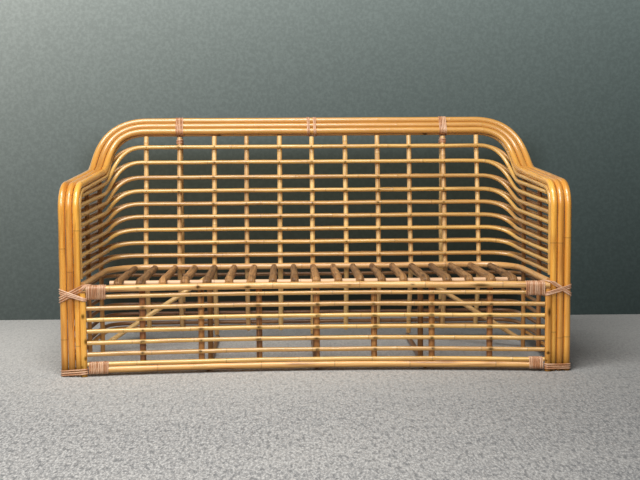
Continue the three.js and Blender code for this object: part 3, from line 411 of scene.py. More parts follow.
class Skin:
    """Vertices, faces and the values that the materials read, gathered for one object."""

    def __init__(self):
        self.verts, self.faces, self.grain, self.own, self.ring, self.marks_and_shade = [], [], [], [], [], []

    def point(self, spot, grain=(0, 0, 0), own=0.5, ring=0.0, marks_and_shade=0.0):
        self.verts.append(place(spot))
        for values, value in ((self.grain, grain), (self.own, own), (self.ring, ring), (self.marks_and_shade, marks_and_shade)):
            values.append(value)

    def close(self, first, sides):
        """The faces round the rows of points that start at the first one, and those at both ends."""
        last = len(self.verts) - sides
        for row in range(first, last, sides):
            for k in range(sides):
                a, b = row + k, row + (k + 1) % sides
                self.faces.append((a, b, b + sides, a + sides))
        self.faces.append(tuple(reversed(range(first, first + sides))))
        self.faces.append(tuple(range(last, last + sides)))

    def tube(self, path, radius, seed, sides=14, step=12.0, nodes=(150, 330), wave=0.5, swell=0.05,
             end_radius=None, caps=(0.0, 0.0), ovality=0.03, marks=(), soiled=(0.0, 0, 1)):
        """A pole along a path, with node rings, a little waviness, rounded or cut ends, dark marks (place,
        half length, half width, strength) and painted shade low down (strength, height where full, height where none)."""
        rng = random.Random(seed)
        chain = smooth(path, step)
        lengths = [0.0]
        for a, b in zip(chain, chain[1:]):
            lengths.append(lengths[-1] + (b - a).length)
        total = lengths[-1]
        rings, at = [], rng.uniform(0.15, 0.85) * nodes[0]
        while at < total - RING_CLEAR:
            if at > RING_CLEAR:
                rings.append(at)
            at += rng.uniform(*nodes)
        stations = lengths + [ring + off for ring in rings for off in RING_STATIONS]
        spots = []
        for spot, half_length, half_width, strength in marks:
            nearest = min(range(len(chain)), key=lambda i: (chain[i] - Vector(spot)).length_squared)
            ahead = (chain[min(nearest + 1, len(chain) - 1)] - chain[max(nearest - 1, 0)]).normalized()
            middle = lengths[nearest] + (Vector(spot) - chain[nearest]).dot(ahead)
            spots.append((middle, Vector(spot), half_length, half_width, strength))
            stations += [middle + half_length * f for f in MARK_STATIONS]
        for end, away, cap in ((0.0, 1, caps[0]), (total, -1, caps[1])):
            if cap:
                stations += [end + away * cap * radius * f for f in CAP_STATIONS]
        stations = sorted(s for s in stations if -0.001 <= s <= total + 0.001)
        kept = [stations[0]]
        for s in stations[1:]:
            if s - kept[-1] > STATION_CLEAR:
                kept.append(s)
        kept[-1] = total
        phase = [rng.uniform(0, 6.28) for _ in range(6)]
        own = rng.random()
        index, normal, first = 0, None, len(self.verts)
        for s in kept:
            while index < len(lengths) - 2 and lengths[index + 1] < s:
                index += 1
            span = max(lengths[index + 1] - lengths[index], 1e-6)
            t = min(max((s - lengths[index]) / span, 0), 1)
            along = heading(chain, index, t)
            if normal is None:
                guess = Vector((0, 0, 1)) if abs(along.z) < 0.8 else Vector((0, 1, 0))
                normal = guess.cross(along).normalized()
            normal = (normal - along * normal.dot(along)).normalized()
            axes = (normal, along.cross(normal))
            drift = Vector()
            for (axis, length, share), start in zip(WAVES, phase):
                drift += axes[axis] * sin(s / length + start) * share
            fade = max(min(1, s / STILL_END, (total - s) / STILL_END), 0)
            centre = chain[index].lerp(chain[index + 1], t) + drift * wave * fade
            near = min((abs(s - ring) for ring in rings), default=NO_RING)
            size = radius if end_radius is None else radius + (end_radius - radius) * s / total
            size *= 1 + swell * exp(-(near / RING_SWELL) ** 2) + GIRTH_WAVE[1] * sin(s / GIRTH_WAVE[0] + phase[4])
            size *= 1 - swell * 0.6
            for end, cap in ((s, caps[0]), (total - s, caps[1])):
                if cap and end < cap * radius:
                    inward = 1 - end / (cap * radius)
                    size *= sqrt(max(1 - inward * inward, 0.0)) * (1 - CUT_END) + CUT_END
            for k in range(sides):
                angle = FULL_TURN * k / sides
                oval = 1 + ovality * cos(2 * angle + phase[5])
                spot = centre + (axes[0] * cos(angle) + axes[1] * sin(angle)) * size * oval
                # Painted shade that darkens the pole towards its lowest parts, then the stains of the dark marks
                dark = soiled[0] * min(max((soiled[2] - spot.z) / (soiled[2] - soiled[1]), 0), 1) ** 1.5
                for middle, mark, half_length, half_width, strength in spots:
                    ds = s - middle
                    if abs(ds) < half_length * 2:
                        around = (spot - mark).length_squared - ds * ds
                        far = (ds / half_length) ** 2 + max(around, 0) / half_width ** 2
                        dark = max(dark, strength * (0.3 * exp(-0.5 * far) + 0.7 * exp(-far * far)))
                self.point(spot, (cos(angle), sin(angle), s * MM), own,
                           exp(-(near / RING_LINE) ** 2), dark)
        self.close(first, sides)

    def strand(self, rings, seed):
        """A strand of cane through rings of points that are already in place."""
        own = random.Random(seed).random()
        sides, first, length = len(rings[0]), len(self.verts), 0.0
        for index, ring in enumerate(rings):
            if index:
                length += (ring[0] - rings[index - 1][0]).length
            for k, p in enumerate(ring):
                angle = pi * k / (sides - 1)
                self.point(p, (cos(angle), sin(angle), length * MM), own)
        self.close(first, sides)

    def build(self, name, material, replaces, crease=40):
        """The finished piece, smooth but for the edges that turn by more than the crease angle."""
        mesh = bpy.data.meshes.new(name)
        mesh.from_pydata(self.verts, [], self.faces)
        for title in ("own", "ring", "marks_and_shade"):
            mesh.attributes.new(title, "FLOAT", "POINT").data.foreach_set("value", getattr(self, title))
        layer = mesh.attributes.new("grain", "FLOAT_VECTOR", "POINT")
        layer.data.foreach_set("vector", [c for v in self.grain for c in v])
        mesh.validate()
        bm = bmesh.new()
        bm.from_mesh(mesh)
        bmesh.ops.recalc_face_normals(bm, faces=bm.faces)
        for face in bm.faces:
            face.smooth = True
        for edge in bm.edges:
            if edge.is_manifold and edge.calc_face_angle(0) > radians(crease):
                edge.smooth = False
        bm.to_mesh(mesh)
        bm.free()
        piece = bpy.data.objects.new(name, mesh)
        bpy.context.scene.collection.objects.link(piece)
        mesh.materials.append(material)
        if replaces:
            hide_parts(*replaces)
        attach(piece, "root")


def pole(name, path, diameter, material, slot, seed, replaces=(), **more):
    """A piece that is one pole along a path."""
    skin = Skin()
    skin.tube(path, diameter / 2, seed, **more)
    skin.build(name, material, replaces)


def pencil(name, path, seed, replaces, material=PALE, **more):
    pole(name, path, PENCIL_D, material, "pencil_pole", seed, replaces, **more)


# Routes, as in the CAD model ----

BEND_STEPS, SWEEP_STEPS, CORNER_STEPS, RING_STEPS = 14, 40, 18, 14


def standing(x, depth, start, end=FOOT_Z):
    """A straight upright between two heights."""
    return [Vector((x, depth, start)), Vector((x, depth, end))]


def arm_x(x, depth):
    """Where something that keeps beside the right arm and starts at x is at a depth."""
    return x - depth * tan(ARM_TOE)


def bundle():
    """The right half of the frame's middle pole, with the directions across the bundle and under it."""
    made = []
    out, up = Vector((1, 0, 0)), Vector((0, 0, 1))
    back = Vector((-sin(ARM_TOE), cos(ARM_TOE), 0))
    top = Vector((0, cos(TOP_LEAN), sin(TOP_LEAN)))

    def add(spot, tangent, facing):
        across = (facing - tangent * facing.dot(tangent)).normalized()
        made.append((spot, across, tangent.cross(across)))

    add(Vector((MIDDLE_X, 0, 0)), up, out)
    start = Vector((MIDDLE_X, 0, POST_STRAIGHT))
    for k in range(BEND_STEPS + 1):
        a = (pi / 2 - ARM_SLOPE) * k / BEND_STEPS
        spot = start + back * (ARM_BEND * (1 - cos(a))) + up * (ARM_BEND * sin(a))
        add(spot, up * cos(a) + back * sin(a), out)
    along = back * cos(ARM_SLOPE) + up * sin(ARM_SLOPE)
    end = made[-1][0]
    arm = end + along * ((ARM_END - end.y) / along.y)
    goal = Vector((TOP_HALF, TOP_DEPTH, TOP_HEIGHT))
    hold = (arm, arm + along * SWEEP_ARM, goal + out * SWEEP_TOP, goal)
    for k, spot in enumerate(bezier(*hold, SWEEP_STEPS)):
        t = k / SWEEP_STEPS
        s = 1 - t
        tangent = ((hold[1] - hold[0]) * (3 * s * s) + (hold[2] - hold[1]) * (6 * s * t)
                   + (hold[3] - hold[2]) * (3 * t * t)).normalized()
        add(spot, tangent, out.lerp(top, eased(t)))
    return made


BUNDLE = bundle()


def lane(offset):
    """The right half of a pole that lies beside the middle one."""
    return [spot + across * offset for spot, across, _ in BUNDLE]


def trim_lane():
    """The right half of the trim, which goes further round under the inner pole along the top."""
    made = []
    for k, (spot, across, under) in enumerate(BUNDLE):
        t = max(k - (len(BUNDLE) - 1 - SWEEP_STEPS), 0) / SWEEP_STEPS
        tuck = TRIM_TUCK + (TOP_TUCK - TRIM_TUCK) * eased(t)
        made.append(spot - across * (PITCH + TRIM_REACH * cos(tuck)) + under * (TRIM_REACH * sin(tuck)))
    made[0].z = INNER_HIGH + CROSS_STEP + CANE_W / 2 + CANE_BACK
    return made


def post_rear(height, reach):
    """The depth of the post's rear side, or of the trim's, at a height."""
    rise = height - POST_STRAIGHT
    return reach if rise <= 0 else ARM_BEND - sqrt((ARM_BEND - reach) ** 2 - rise * rise)


def upright_x(j):
    """Where the back upright number j, counted from the middle, stands across."""
    return j * UPRIGHT_STEP + UPRIGHT_OFF.get(j, 0)


def upright_depth(z):
    if z >= KNEE_Z:
        return SEAT_DEPTH + (z - KNEE_Z) * tan(RAKE)
    return SEAT_DEPTH + (KNEE_Z - z) / (KNEE_Z - BASE_Z) * (FOOT_DEPTH - SEAT_DEPTH)


def rail(side_x, start, front, back, back_depth, rise=0.0):
    """A rail from arm to arm, with its heights at the front and across the back and its climb."""
    first = Vector((arm_x(side_x, start), start, front))
    arm = Vector((arm_x(side_x, RAIL_ARM_END), RAIL_ARM_END, front + rise))
    along = (arm - first).normalized()
    end = Vector((RAIL_HALF, back_depth, back))
    behind = arm + along * (RAIL_ARM * (back_depth - RAIL_ARM_END))
    beside = end + Vector((RAIL_BACKWARD * (arm.x - RAIL_HALF), 0, 0))
    return both([first] + bezier(arm, behind, beside, end, CORNER_STEPS))


def rail_rows():
    """Height at the front, height across the back and climb along the arm of each row of rails."""
    rows = []
    for k, share in enumerate(RAIL_SHARES):
        t = k / (len(RAIL_SHARES) - 1)
        rows.append((RAIL_FRONT[0] + (RAIL_FRONT[1] - RAIL_FRONT[0]) * t,
                     RAIL_BACK[1] + (RAIL_BACK[0] - RAIL_BACK[1]) * share, RAIL_RISE * (1 - t)))
    return rows


def front_depth(x):
    """The depth of the bowed front at a place across."""
    share = x / SHORT_X
    return SHORT_Y + BOW * (1 - share * share)


def bowed(half, z, steps=24):
    return [Vector((x, front_depth(x), z)) for x in (half * (1 - 2 * k / steps) for k in range(steps + 1))]


def crossings(xs, spot_at, odds, size, seed):
    """Dark nail marks on a rail's face where it crosses uprights."""
    rng = random.Random(seed)
    made = []
    for x in xs:
        there = x + rng.uniform(-4, 4)
        mark = (spot_at(there, rng.uniform(-2.2, 2.2)), size * rng.uniform(0.7, 1.4), size * rng.uniform(0.6, 0.8),
                rng.uniform(0.75, 1.0))
        if rng.random() < odds:
            made.append(mark)
    return made


# Frame poles, trim and rails
# The frame poles get painted shade near the floor, full at 20 mm and none above 100 mm
for word, k in (("outer", 1), ("middle", 0), ("inner", -1)):
    pole(f"pole_{word}", both(lane(k * PITCH)), FRAME_D, HONEY, "frame_pole", 11 + k,
         (f"frame_pole_{word}",), sides=20, nodes=(260, 420), wave=0.35, swell=0.03, soiled=(0.85, 20, 100))
trim = trim_lane()
trim_end = trim[-1]
nailed = [((x, trim_end.y - PENCIL_R * 0.8, trim_end.z - PENCIL_R * 0.5), 9, 6, 1.0) for x in TRIM_MARKS]
pencil("trim_pole", both(trim), 21, ("edge_trim",), wave=0.3, marks=nailed)
leaned = LATTICE / cos(RAKE)
for number, (front, back, climb) in enumerate(rail_rows(), 1):
    depth = upright_depth(back)
    start = post_rear(front + PENCIL_R, TRIM_DROP + PENCIL_R) + GAP
    path = rail(INNER_RAIL_X, start, front, back, depth - leaned, climb)
    nailed = crossings([upright_x(j) for j in range(-4, 5)],
                       lambda x, up: (x, depth - leaned - PENCIL_R, back + up), 0.5, 5.0, number)
    pencil(f"rail_in_{number}", path, 100 + number, (f"inner_rail_{number}",), wave=1.0, marks=nailed)
    path = rail(OUTER_RAIL_X, post_rear(front + PENCIL_R, POLE_R) + GAP, front, back, depth + leaned, climb)
    pencil(f"rail_out_{number}", path, 130 + number, (f"outer_rail_{number}",), OUTSIDE, wave=1.0)
for k in range(LOWERS):
    z = LOWER_TOP - k * LOWER_STEP
    start = POLE_R + (2 * CANE_T + GAP + CROSS_GAP + CANE_BACK if k == 0 else GAP)
    path = rail(OUTER_RAIL_X, start, z, z, upright_depth(z) + LATTICE / cos(SPLAY))
    pole(f"rail_low_{k + 1}", path, PENCIL_D, UNDER, "under_pole", 160 + k, (f"lower_rail_{k + 1}",), wave=0.8)

# Back uprights, arm uprights with the base rail, and stays
comb = Skin()
reach = (CANE_T + GAP) / CANE_CORNER + CANE_BACK
knee = KNEE_R * sin(RAKE)
for k in range(UPRIGHTS):
    j = k - (UPRIGHTS - 1) // 2
    x = upright_x(j)
    top = trim_end.z - PENCIL_R - GAP - (reach if j % 4 == 0 else 0)
    foot = LEG_D + GAP + UPRIGHT_R * sin(SPLAY) if j % 3 == 0 else FOOT_Z
    a, b, c, d = (Vector((x, upright_depth(z), z)) for z in (top, KNEE_Z + knee, KNEE_Z - knee, foot))
    corner = Vector((x, SEAT_DEPTH, KNEE_Z))
    bend = [b * (1 - t) ** 2 + corner * (2 * t * (1 - t)) + c * t * t for t in (0.25, 0.5, 0.75)]
    comb.tube([a, b] + bend + [c, d], UPRIGHT_R * UPRIGHT_FULLER, 200 + k, wave=0.9, caps=(0, 0.5))
comb.build("uprights", UPRIGHT, ("upright_comb",))
arms = Skin()
for word, side in SIDES:
    for k, depth in enumerate(ARM_UPRIGHTS):
        z = POST_STRAIGHT + ARM_BEND + (depth - ARM_BEND) * tan(ARM_SLOPE)
        z -= POLE_R / cos(ARM_SLOPE) + UPRIGHT_R * tan(ARM_SLOPE) + GAP
        ends = standing(side * arm_x(ARM_UPRIGHT_X, depth), depth, z, 0 if k else FOOT_Z)
        arms.tube(ends, UPRIGHT_R, 230 + k + side * 3, wave=0.6)
base = rail(ARM_UPRIGHT_X + UPRIGHT_R + BASE_R - BITE, POLE_R + GAP, BASE_Z, BASE_Z, BASE_DEPTH)
arms.tube(base, BASE_R, 240, wave=0.6)
arms.build("arm_uprights", ARM, ())
for word, side in SIDES:
    pole(f"stay_{word}", standing(side * STAY_X, STAY_DEPTH, trim_end.z - STAY_DROP), STAY_D, UPRIGHT, "upright",
         250 + side, (f"rear_stay_{word}",), wave=0.6, caps=(0, 0.5))

# Short posts and the seat's front
for word, side in SIDES:
    x = side * SHORT_X
    nailed = [((spot, SHORT_Y - sqrt(SHORT_R ** 2 - (spot - x) ** 2), z), long, 6.5, 1.0)
              for spot, z, long in POST_KNOTS[word]]
    # The short posts get painted shade near the floor, full at 20 mm and none above 95 mm
    pole(f"post_{word}", standing(x, SHORT_Y, 0, SEAT_Z - POLE_R - GAP), SHORT_D, HONEY, "frame_pole", 260 + side,
         (f"short_post_{word}",), sides=24, wave=0.25, swell=0.02, marks=nailed, soiled=(0.8, 20, 95))
nailed = [((x, front_depth(x) - sqrt(POLE_R ** 2 - up * up), SEAT_Z + up), long, wide, dark)
          for x, up, long, wide, dark in SEAT_MARKS]
pole("seat_rail", bowed(INNER_X - POLE_R - GAP - RAIL_CLEAR, SEAT_Z), FRAME_D, TAN, "frame_pole", 270,
     ("seat_front_rail",), sides=24, nodes=(230, 380), wave=0.35, swell=0.04, marks=nailed)
half = SHORT_X - SHORT_R - GAP
pencil("seat_pencil", bowed(half - CANE_T - GAP, SEAT_PENCIL_Z), 271, ("seat_front_pencil",), wave=0.6)

# Seat ring
ring_corner = RING_REAR - RING_CORNER
ring_centre = arm_x(RING_X, ring_corner + RING_CORNER * sin(ARM_TOE)) - RING_CORNER * cos(ARM_TOE)
ring_start = POLE_R + CANE_T + CANE_BACK
ring_z = RING_Z - RING_SAG
ring_half = [Vector((arm_x(RING_X, ring_start), ring_start, ring_z))]
for k in range(RING_STEPS + 1):
    a = ARM_TOE + (pi / 2 - ARM_TOE) * k / RING_STEPS
    ring_half.append(Vector((ring_centre + RING_CORNER * cos(a), ring_corner + RING_CORNER * sin(a),
                             ring_z)))
pole("ring_pole", both(ring_half), RING_D, TAN, "frame_pole", 272, ("seat_ring",), sides=18,
     nodes=(230, 380), wave=0.5)

# Seat deck. A slat's front end comes down on the seat rail: its two first points are given by their
# distance behind the rail, in radii of it, and their drop.
SLAT_TIP, SLAT_BREAK = (0.4, 13), (2.6, 1)
deck = Skin()
for k in range(SLATS):
    x = (k - (SLATS - 1) / 2) * SLAT_STEP
    inward = RING_CORNER - RING_R
    past = max(abs(x) + SLAT_D[1] / 2 - ring_centre, 0)
    rear = ring_corner + sqrt(inward * inward - past * past) - GAP
    path = [Vector((x, front_depth(x) + POLE_R * behind, SLAT_Z[0] - drop)) for behind, drop in (SLAT_TIP, SLAT_BREAK)]
    deck.tube(path + [Vector((x, rear, SLAT_Z[1]))], SLAT_D[0] / 2, 300 + k, sides=18, step=9, nodes=(120, 260),
              wave=1.2, swell=0.06, end_radius=SLAT_D[1] / 2, caps=(0.35, 0.9), ovality=0.06)
deck.build("slats", BARK, ("seat_deck",))
bearers = Skin()
mid_share = MID_BEARER[0] / RING_REAR
mid_z = SLAT_Z[0] + (SLAT_Z[1] - SLAT_Z[0]) * mid_share - SLAT_D[0] / 2 - BEARER_R + BITE
for (depth, reach_x), z, seed in ((FRONT_BEARER, FRONT_BEARER_Z, 330), (MID_BEARER, mid_z, 331)):
    bearers.tube([Vector((-reach_x, depth, z)), Vector((reach_x, depth, z))], BEARER_R, seed, wave=0.5)
bearers.build("bearers", BEARER, ())

# Grille
front_xs = [(k - (FRONT_UPRIGHTS - 1) / 2) * FRONT_STEP for k in range(FRONT_UPRIGHTS)]
for k in range(GRILLES):
    z = SEAT_PENCIL_Z - (k + 1) * GRILLE_STEP
    nailed = crossings(front_xs, lambda x, up: (x, front_depth(x) - PENCIL_R, z + up), 0.85, 8.0, 20 + k)
    pencil(f"grille_{k + 1}", bowed(half, z, 48), 340 + k, (f"grille_pencil_{k + 1}",), wave=0.9, marks=nailed)
pencil("bottom_thin", bowed(half, BOTTOM_PENCIL_Z), 350, ("bottom_pencil",), wave=0.5)
band = (SHORT_R + GAP + CANE_T) / CANE_CORNER
# The thick bottom pole gets painted shade on its underside, full below 11 mm and none above 24 mm
pole("bottom_thick", bowed(SHORT_X - band - GAP, BOTTOM_Z), BOTTOM_D, BOTTOM, "frame_pole", 351,
     sides=24, nodes=(230, 380), wave=0.4, soiled=(0.8, 11, 24))
fronts = Skin()
for k, x in enumerate(front_xs):
    y = front_depth(x) + PENCIL_R + GAP + FRONT_UPRIGHT_D / 2
    fronts.tube(standing(x, y, SEAT_Z - POLE_R, BOTTOM_Z), FRONT_UPRIGHT_D / 2, 360 + k, wave=0.4, nodes=(90, 220))
fronts.build("front_uprights", BROWN, ("grille_frame",))

# Legs, braces
for word, x in LEGS:
    legs = Skin()
    y = front_depth(x) + PENCIL_R + GAP + FRONT_UPRIGHT_D + GAP
    legs.tube([Vector((x, y, LEG_R)), Vector((x, STAY_DEPTH, LEG_R))], LEG_R, 370 + x, wave=0.0)
    legs.tube(standing(x, MID_BEARER[0], LEG_R, mid_z - BEARER_R - GAP), LEG_R, 375 + x, wave=0.3)
    legs.build(f"leg_{word}", UNDER, (f"mid_leg_{word}",))
rear_x = arm_x(ARM_UPRIGHT_X, ARM_UPRIGHTS[1])
slant = atan2(ring_z - RING_R - BRACE_FOOT, hypot(rear_x - BRACE_TOP, RING_REAR - ARM_UPRIGHTS[1]))
for word, side in SIDES:
    low = Vector((side * (rear_x - UPRIGHT_R - GAP - BRACE_R * sin(slant)), ARM_UPRIGHTS[1], BRACE_FOOT))
    high = Vector((side * BRACE_TOP, RING_REAR, ring_z - RING_R - GAP - BRACE_R * cos(slant)))
    pole(f"strut_{word}", [low, high], BRACE_D, UPRIGHT, "under_pole", 380 + side, (f"brace_{word}",), wave=0.5)


# Lashings ----

CANE_CREASE = 60
TURN_STEP = radians(20)
CROWN = ((-0.5, 0.0), (-0.48, 0.3), (-0.34, 0.76), (-0.13, 1.0), (0.13, 1.0), (0.34, 0.76), (0.48, 0.3), (0.5, 0.0))


def turn_corners(loop):
    """Corners of the polygon that a strand follows round a loop of circles: place and lean."""
    facings = []
    for k, (across, out, radius) in enumerate(loop):
        before = loop[k - 1]
        da, do = across - before[0], out - before[1]
        facings.append(atan2(do, da) - acos((before[2] - radius) / hypot(da, do)))
    made = []
    for k, (across, out, radius) in enumerate(loop):
        span = (facings[(k + 1) % len(loop)] - facings[k]) % FULL_TURN
        steps = ceil(span / TURN_STEP)
        mitre = 1 / cos(span / steps / 2)
        r = (radius + GAP) * mitre
        for step in range(steps):
            a = facings[k] + span * (2 * step + 1) / (2 * steps)
            made.append((across + cos(a) * r, out + sin(a) * r, cos(a) * mitre, sin(a) * mitre))
    return made


def ends_trimmed(stations):
    """The first and last stations moved to the middle of their runs."""
    def middle(a, b):
        across, out = b[0] - a[0], b[1] - a[1]
        length = hypot(across, out)
        sign = 1 if out * a[2] - across * a[3] > 0 else -1
        return ((a[0] + b[0]) / 2, (a[1] + b[1]) / 2, sign * out / length, -sign * across / length,
                (a[4] + b[4]) / 2)
    return [middle(stations[0], stations[1])] + stations[1:-1] + [middle(stations[-2], stations[-1])]


def wound(stations, to_world, seed):
    """Rings of points of a strand through stations that are given across, out and along a bundle."""
    phase = random.Random(seed).uniform(0, 6)
    rings = []
    for index, (across, out, lean_a, lean_o, along) in enumerate(ends_trimmed(stations)):
        wobble = 0.25 * sin(index * 0.9 + phase)
        rings.append([Vector(to_world(across + lean_a * CANE_T * high, out + lean_o * CANE_T * high,
                                      along + CANE_W * wide + wobble * 0.4)) for wide, high in CROWN])
    return rings


def laid(chain):
    """Rings of points of a strand along points that each come with the direction that it faces there."""
    rings = []
    for k, (spot, facing) in enumerate(chain):
        along = (chain[min(k + 1, len(chain) - 1)][0] - chain[max(k - 1, 0)][0]).normalized()
        facing = (facing - along * facing.dot(along)).normalized()
        side = facing.cross(along)
        rings.append([spot + side * (CANE_W * wide) + facing * (CANE_T * high) for wide, high in CROWN])
    return rings


def tilted(skin, loop, height, slope, to_world, seed):
    """A closed turn round a bundle whose height falls by the slope from the outer side inward."""
    reach = loop[0][0] + loop[0][2]
    stations = [(*corner, height - slope * (reach - corner[0])) for corner in turn_corners(loop)]
    skin.strand(wound([stations[-1]] + stations + [stations[0]], to_world, seed), seed)


def wrap(name, replaces, loop, turns, start, to_world, seed, split_turn=inf, split=0.0):
    """A lashing of side by side turns round a loop of circles, with a gap before the split turn."""
    corners = turn_corners(loop)
    count = len(corners)
    stations = []
    for place_on in range(-1, turns * count + 1):
        turn, index = divmod(place_on, count)
        along = start + (turn + (2 * index + 1) / (2 * count)) * CANE_STEP + (split if turn >= split_turn else 0)
        stations.append((*corners[index], along))
    skin = Skin()
    skin.strand(wound(stations, to_world, seed), seed)
    skin.build(name, CANE, replaces, CANE_CREASE)


def top_world(across, out, along):
    return (along, TOP_DEPTH + across * cos(TOP_LEAN) - out * sin(TOP_LEAN),
            TOP_HEIGHT + across * sin(TOP_LEAN) + out * cos(TOP_LEAN))


top_row = [(PITCH, 0, POLE_R), (-PITCH, 0, POLE_R),
           (-PITCH - TRIM_REACH * cos(TOP_TUCK), -TRIM_REACH * sin(TOP_TUCK), PENCIL_R)]
for word, side in SIDES:
    start = side * STAY_X - SIDE_TURNS * CANE_STEP / 2
    wrap(f"wrap_top_{word}", (f"lashing_top_{word}",), top_row, SIDE_TURNS, start, top_world, 400 + side)
wrap("wrap_top_centre", ("lashing_top_centre",), top_row, CENTRE_TURNS,
     -(CENTRE_TURNS * CANE_STEP + CENTRE_SPLIT) / 2, top_world, 402, CENTRE_TURNS // 2, CENTRE_SPLIT)

OUTER_X = MIDDLE_X + PITCH
OVER = POLE_R + GAP + CANE_T + CROSS_GAP  # how far a climbing strand's underside lies from a pole's axis
ROUND_STEPS, FLAT_STEPS, RAIL_STEPS = 18, 8, 14
RAIL_END = radians(165)


def climbing(side, height, slope, top_x):
    """A strand that comes round the outer post, climbs across the posts and goes over the seat rail."""
    chain = []
    for step in range(ROUND_STEPS + 1):
        a = -pi / 2 + pi * step / ROUND_STEPS
        reach = POLE_R + GAP + (CANE_T + CROSS_GAP) * max(sin(a), 0.0)
        x = OUTER_X + reach * cos(a)
        rise = slope * max(OUTER_X + POLE_R - x, 0) if a > 0 else 0
        chain.append((Vector((side * x, -reach * sin(a), height + rise)),
                      Vector((side * cos(a), -sin(a), 0))))
    start = OUTER_X + POLE_R
    for step in range(1, FLAT_STEPS + 1):
        x = OUTER_X + (INNER_X - OUTER_X) * step / FLAT_STEPS
        chain.append((Vector((side * x, -OVER, height + slope * (start - x))), Vector((0, -1, 0))))
    on_x = SHORT_X + CROSS_PAST
    on_z = height + slope * (start - on_x)
    first = asin(min(max((on_z - SEAT_Z) / OVER, -0.4), 0.9))
    for step in range(RAIL_STEPS + 1):
        a = first + (RAIL_END - first) * step / RAIL_STEPS
        x = on_x + (top_x - on_x) * (a - first) / (pi / 2 - first)
        chain.append((Vector((side * x, front_depth(x) - OVER * cos(a), SEAT_Z + OVER * sin(a))),
                      Vector((0, -cos(a), sin(a)))))
    return chain


side_face = SHORT_X - SHORT_R
posts = [(OUTER_X, 0, POLE_R), (SHORT_X, -SHORT_Y, SHORT_R), (INNER_X, 0, POLE_R)]
seat_row = [(SEAT_Z, 0, POLE_R), (SEAT_PENCIL_Z, 0, PENCIL_R)]
bottom_row = [(BOTTOM_PENCIL_Z, 0, PENCIL_R), (BOTTOM_Z, 0, BOTTOM_R)]
TIE_CLEAR, TIE_MIDDLE, TIE_SLACK = 3.2, 10, 1.0  # from the lattice up, from there to its middle, round the poles
for word, side in SIDES:
    def front_world(across, out, along, side=side):
        return (side * along, front_depth(along) - out, across)

    def post_world(across, out, along, side=side):
        return (side * across, -out, along)

    def stay_world(across, out, along, side=side):
        return (side * (STAY_X + out), across, along)

    for part, row, turns, clear, seed in (("seat", seat_row, SEAT_TURNS, SEAT_CLEAR, 410),
                                          ("bottom", bottom_row, BOTTOM_TURNS[word], BOTTOM_CLEAR, 420)):
        wrap(f"wrap_{part}_{word}", (f"lashing_{part}_{word}",), row, turns,
             side_face - clear - turns * CANE_STEP, front_world, seed + side)
    bands = Skin()
    for k, (height, slope) in enumerate(FOOT_BANDS[word]):
        tilted(bands, posts, height, slope, post_world, 430 + 7 * k + side)
    bands.build(f"wrap_foot_{word}", CANE, (f"lashing_foot_{word}",), CANE_CREASE)

    # The crossed lashing: turns that fall inward to the short post, and climbing strands over them
    cross = Skin()
    for k, (height, slope) in enumerate(FALLING[word]):
        tilted(cross, posts, height, slope, post_world, 440 + 7 * k + side)
    for k, strand in enumerate(CLIMBING[word]):
        cross.strand(laid(climbing(side, *strand)), 460 + 7 * k + side)
    cross.build(f"wrap_post_{word}", CANE, (f"lashing_post_{word}",), CANE_CREASE)

    # Small ties of the lashed uprights to the stays, just under the top rail
    low = RAIL_BACK[0] + PENCIL_R + TIE_CLEAR
    tie_row = [(STAY_DEPTH, 0, STAY_D / 2), (upright_depth(low + TIE_MIDDLE), 0, UPRIGHT_R + TIE_SLACK)]
    wrap(f"wrap_stay_{word}", (), tie_row, TIE_TURNS, low, stay_world, 450 + side)

# Nail heads at the crossings, on the side that the nails were driven from
NAIL_SIDES = 8
DOME = ((-0.4, 1.0), (0.35, 0.85), (0.6, 0.4))  # height above the pole's face and share of the head's radius
nails = Skin()


def nail(spot, direction, size):
    """A small domed head on a pole's face."""
    direction = Vector(direction).normalized()
    side = direction.orthogonal().normalized()
    other = direction.cross(side)
    first = len(nails.verts)
    for lift, share in DOME:
        for k in range(NAIL_SIDES):
            a = FULL_TURN * k / NAIL_SIDES
            nails.point(Vector(spot) + direction * lift + (side * cos(a) + other * sin(a)) * size * share)
    nails.close(first, NAIL_SIDES)


rng = random.Random(5)
for front, back, climb in rail_rows():
    depth = upright_depth(back) - leaned
    for k in range(UPRIGHTS):
        if rng.random() < 0.75:
            x = upright_x(k - (UPRIGHTS - 1) // 2) + rng.uniform(-3, 3)
            nail((x, depth - PENCIL_R, back + rng.uniform(-2, 2)), (0, -1, 0.1), rng.uniform(1.2, 2.2))
for row in range(GRILLES + 1):
    z = SEAT_PENCIL_Z - row * GRILLE_STEP
    for middle in front_xs:
        x = middle + rng.uniform(-4, 4)
        nail((x, front_depth(x) - PENCIL_R, z + rng.uniform(-2, 2)), (0, -1, 0), rng.uniform(1.4, 2.4))
nails.build("nail_heads", NAIL, ())

# Stage ----

FLOOR_REACH, FLOOR_Z, WALL_DEPTH, WALL_TURN = 8, -0.0006, 1370, 0.0096


def sheet(name, corners, material):
    mesh = bpy.data.meshes.new(name)
    mesh.from_pydata([Vector(c) for c in corners], [], [(0, 1, 2, 3)])
    made = bpy.data.objects.new(name, mesh)
    bpy.context.scene.collection.objects.link(made)
    mesh.materials.append(material)
    made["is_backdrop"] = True


wall_y, lean = (WALL_DEPTH - SHIFT) * MM, WALL_TURN * FLOOR_REACH
corners = ((-FLOOR_REACH, -FLOOR_REACH), (FLOOR_REACH, -FLOOR_REACH), (FLOOR_REACH, wall_y - lean),
           (-FLOOR_REACH, wall_y + lean))
sheet("floor", [(x, y, FLOOR_Z) for x, y in corners], concrete("concrete_floor"))

# Light and camera ----

# For red, green and blue: the logarithm of the wall's tone straight ahead, its change to the right
# (painted shade) and upwards (painted light), and the share that is lost in the sofa's painted shade
WALL_TONES = ((-1.967, -2.294, 6.77, 0.56), (-1.796, -2.0, 6.41, 0.6), (-1.867, -1.94, 6.41, 0.68))
SKY = (0.063, 0.066, 0.07)
SHADE_MIDDLE = 0.0235

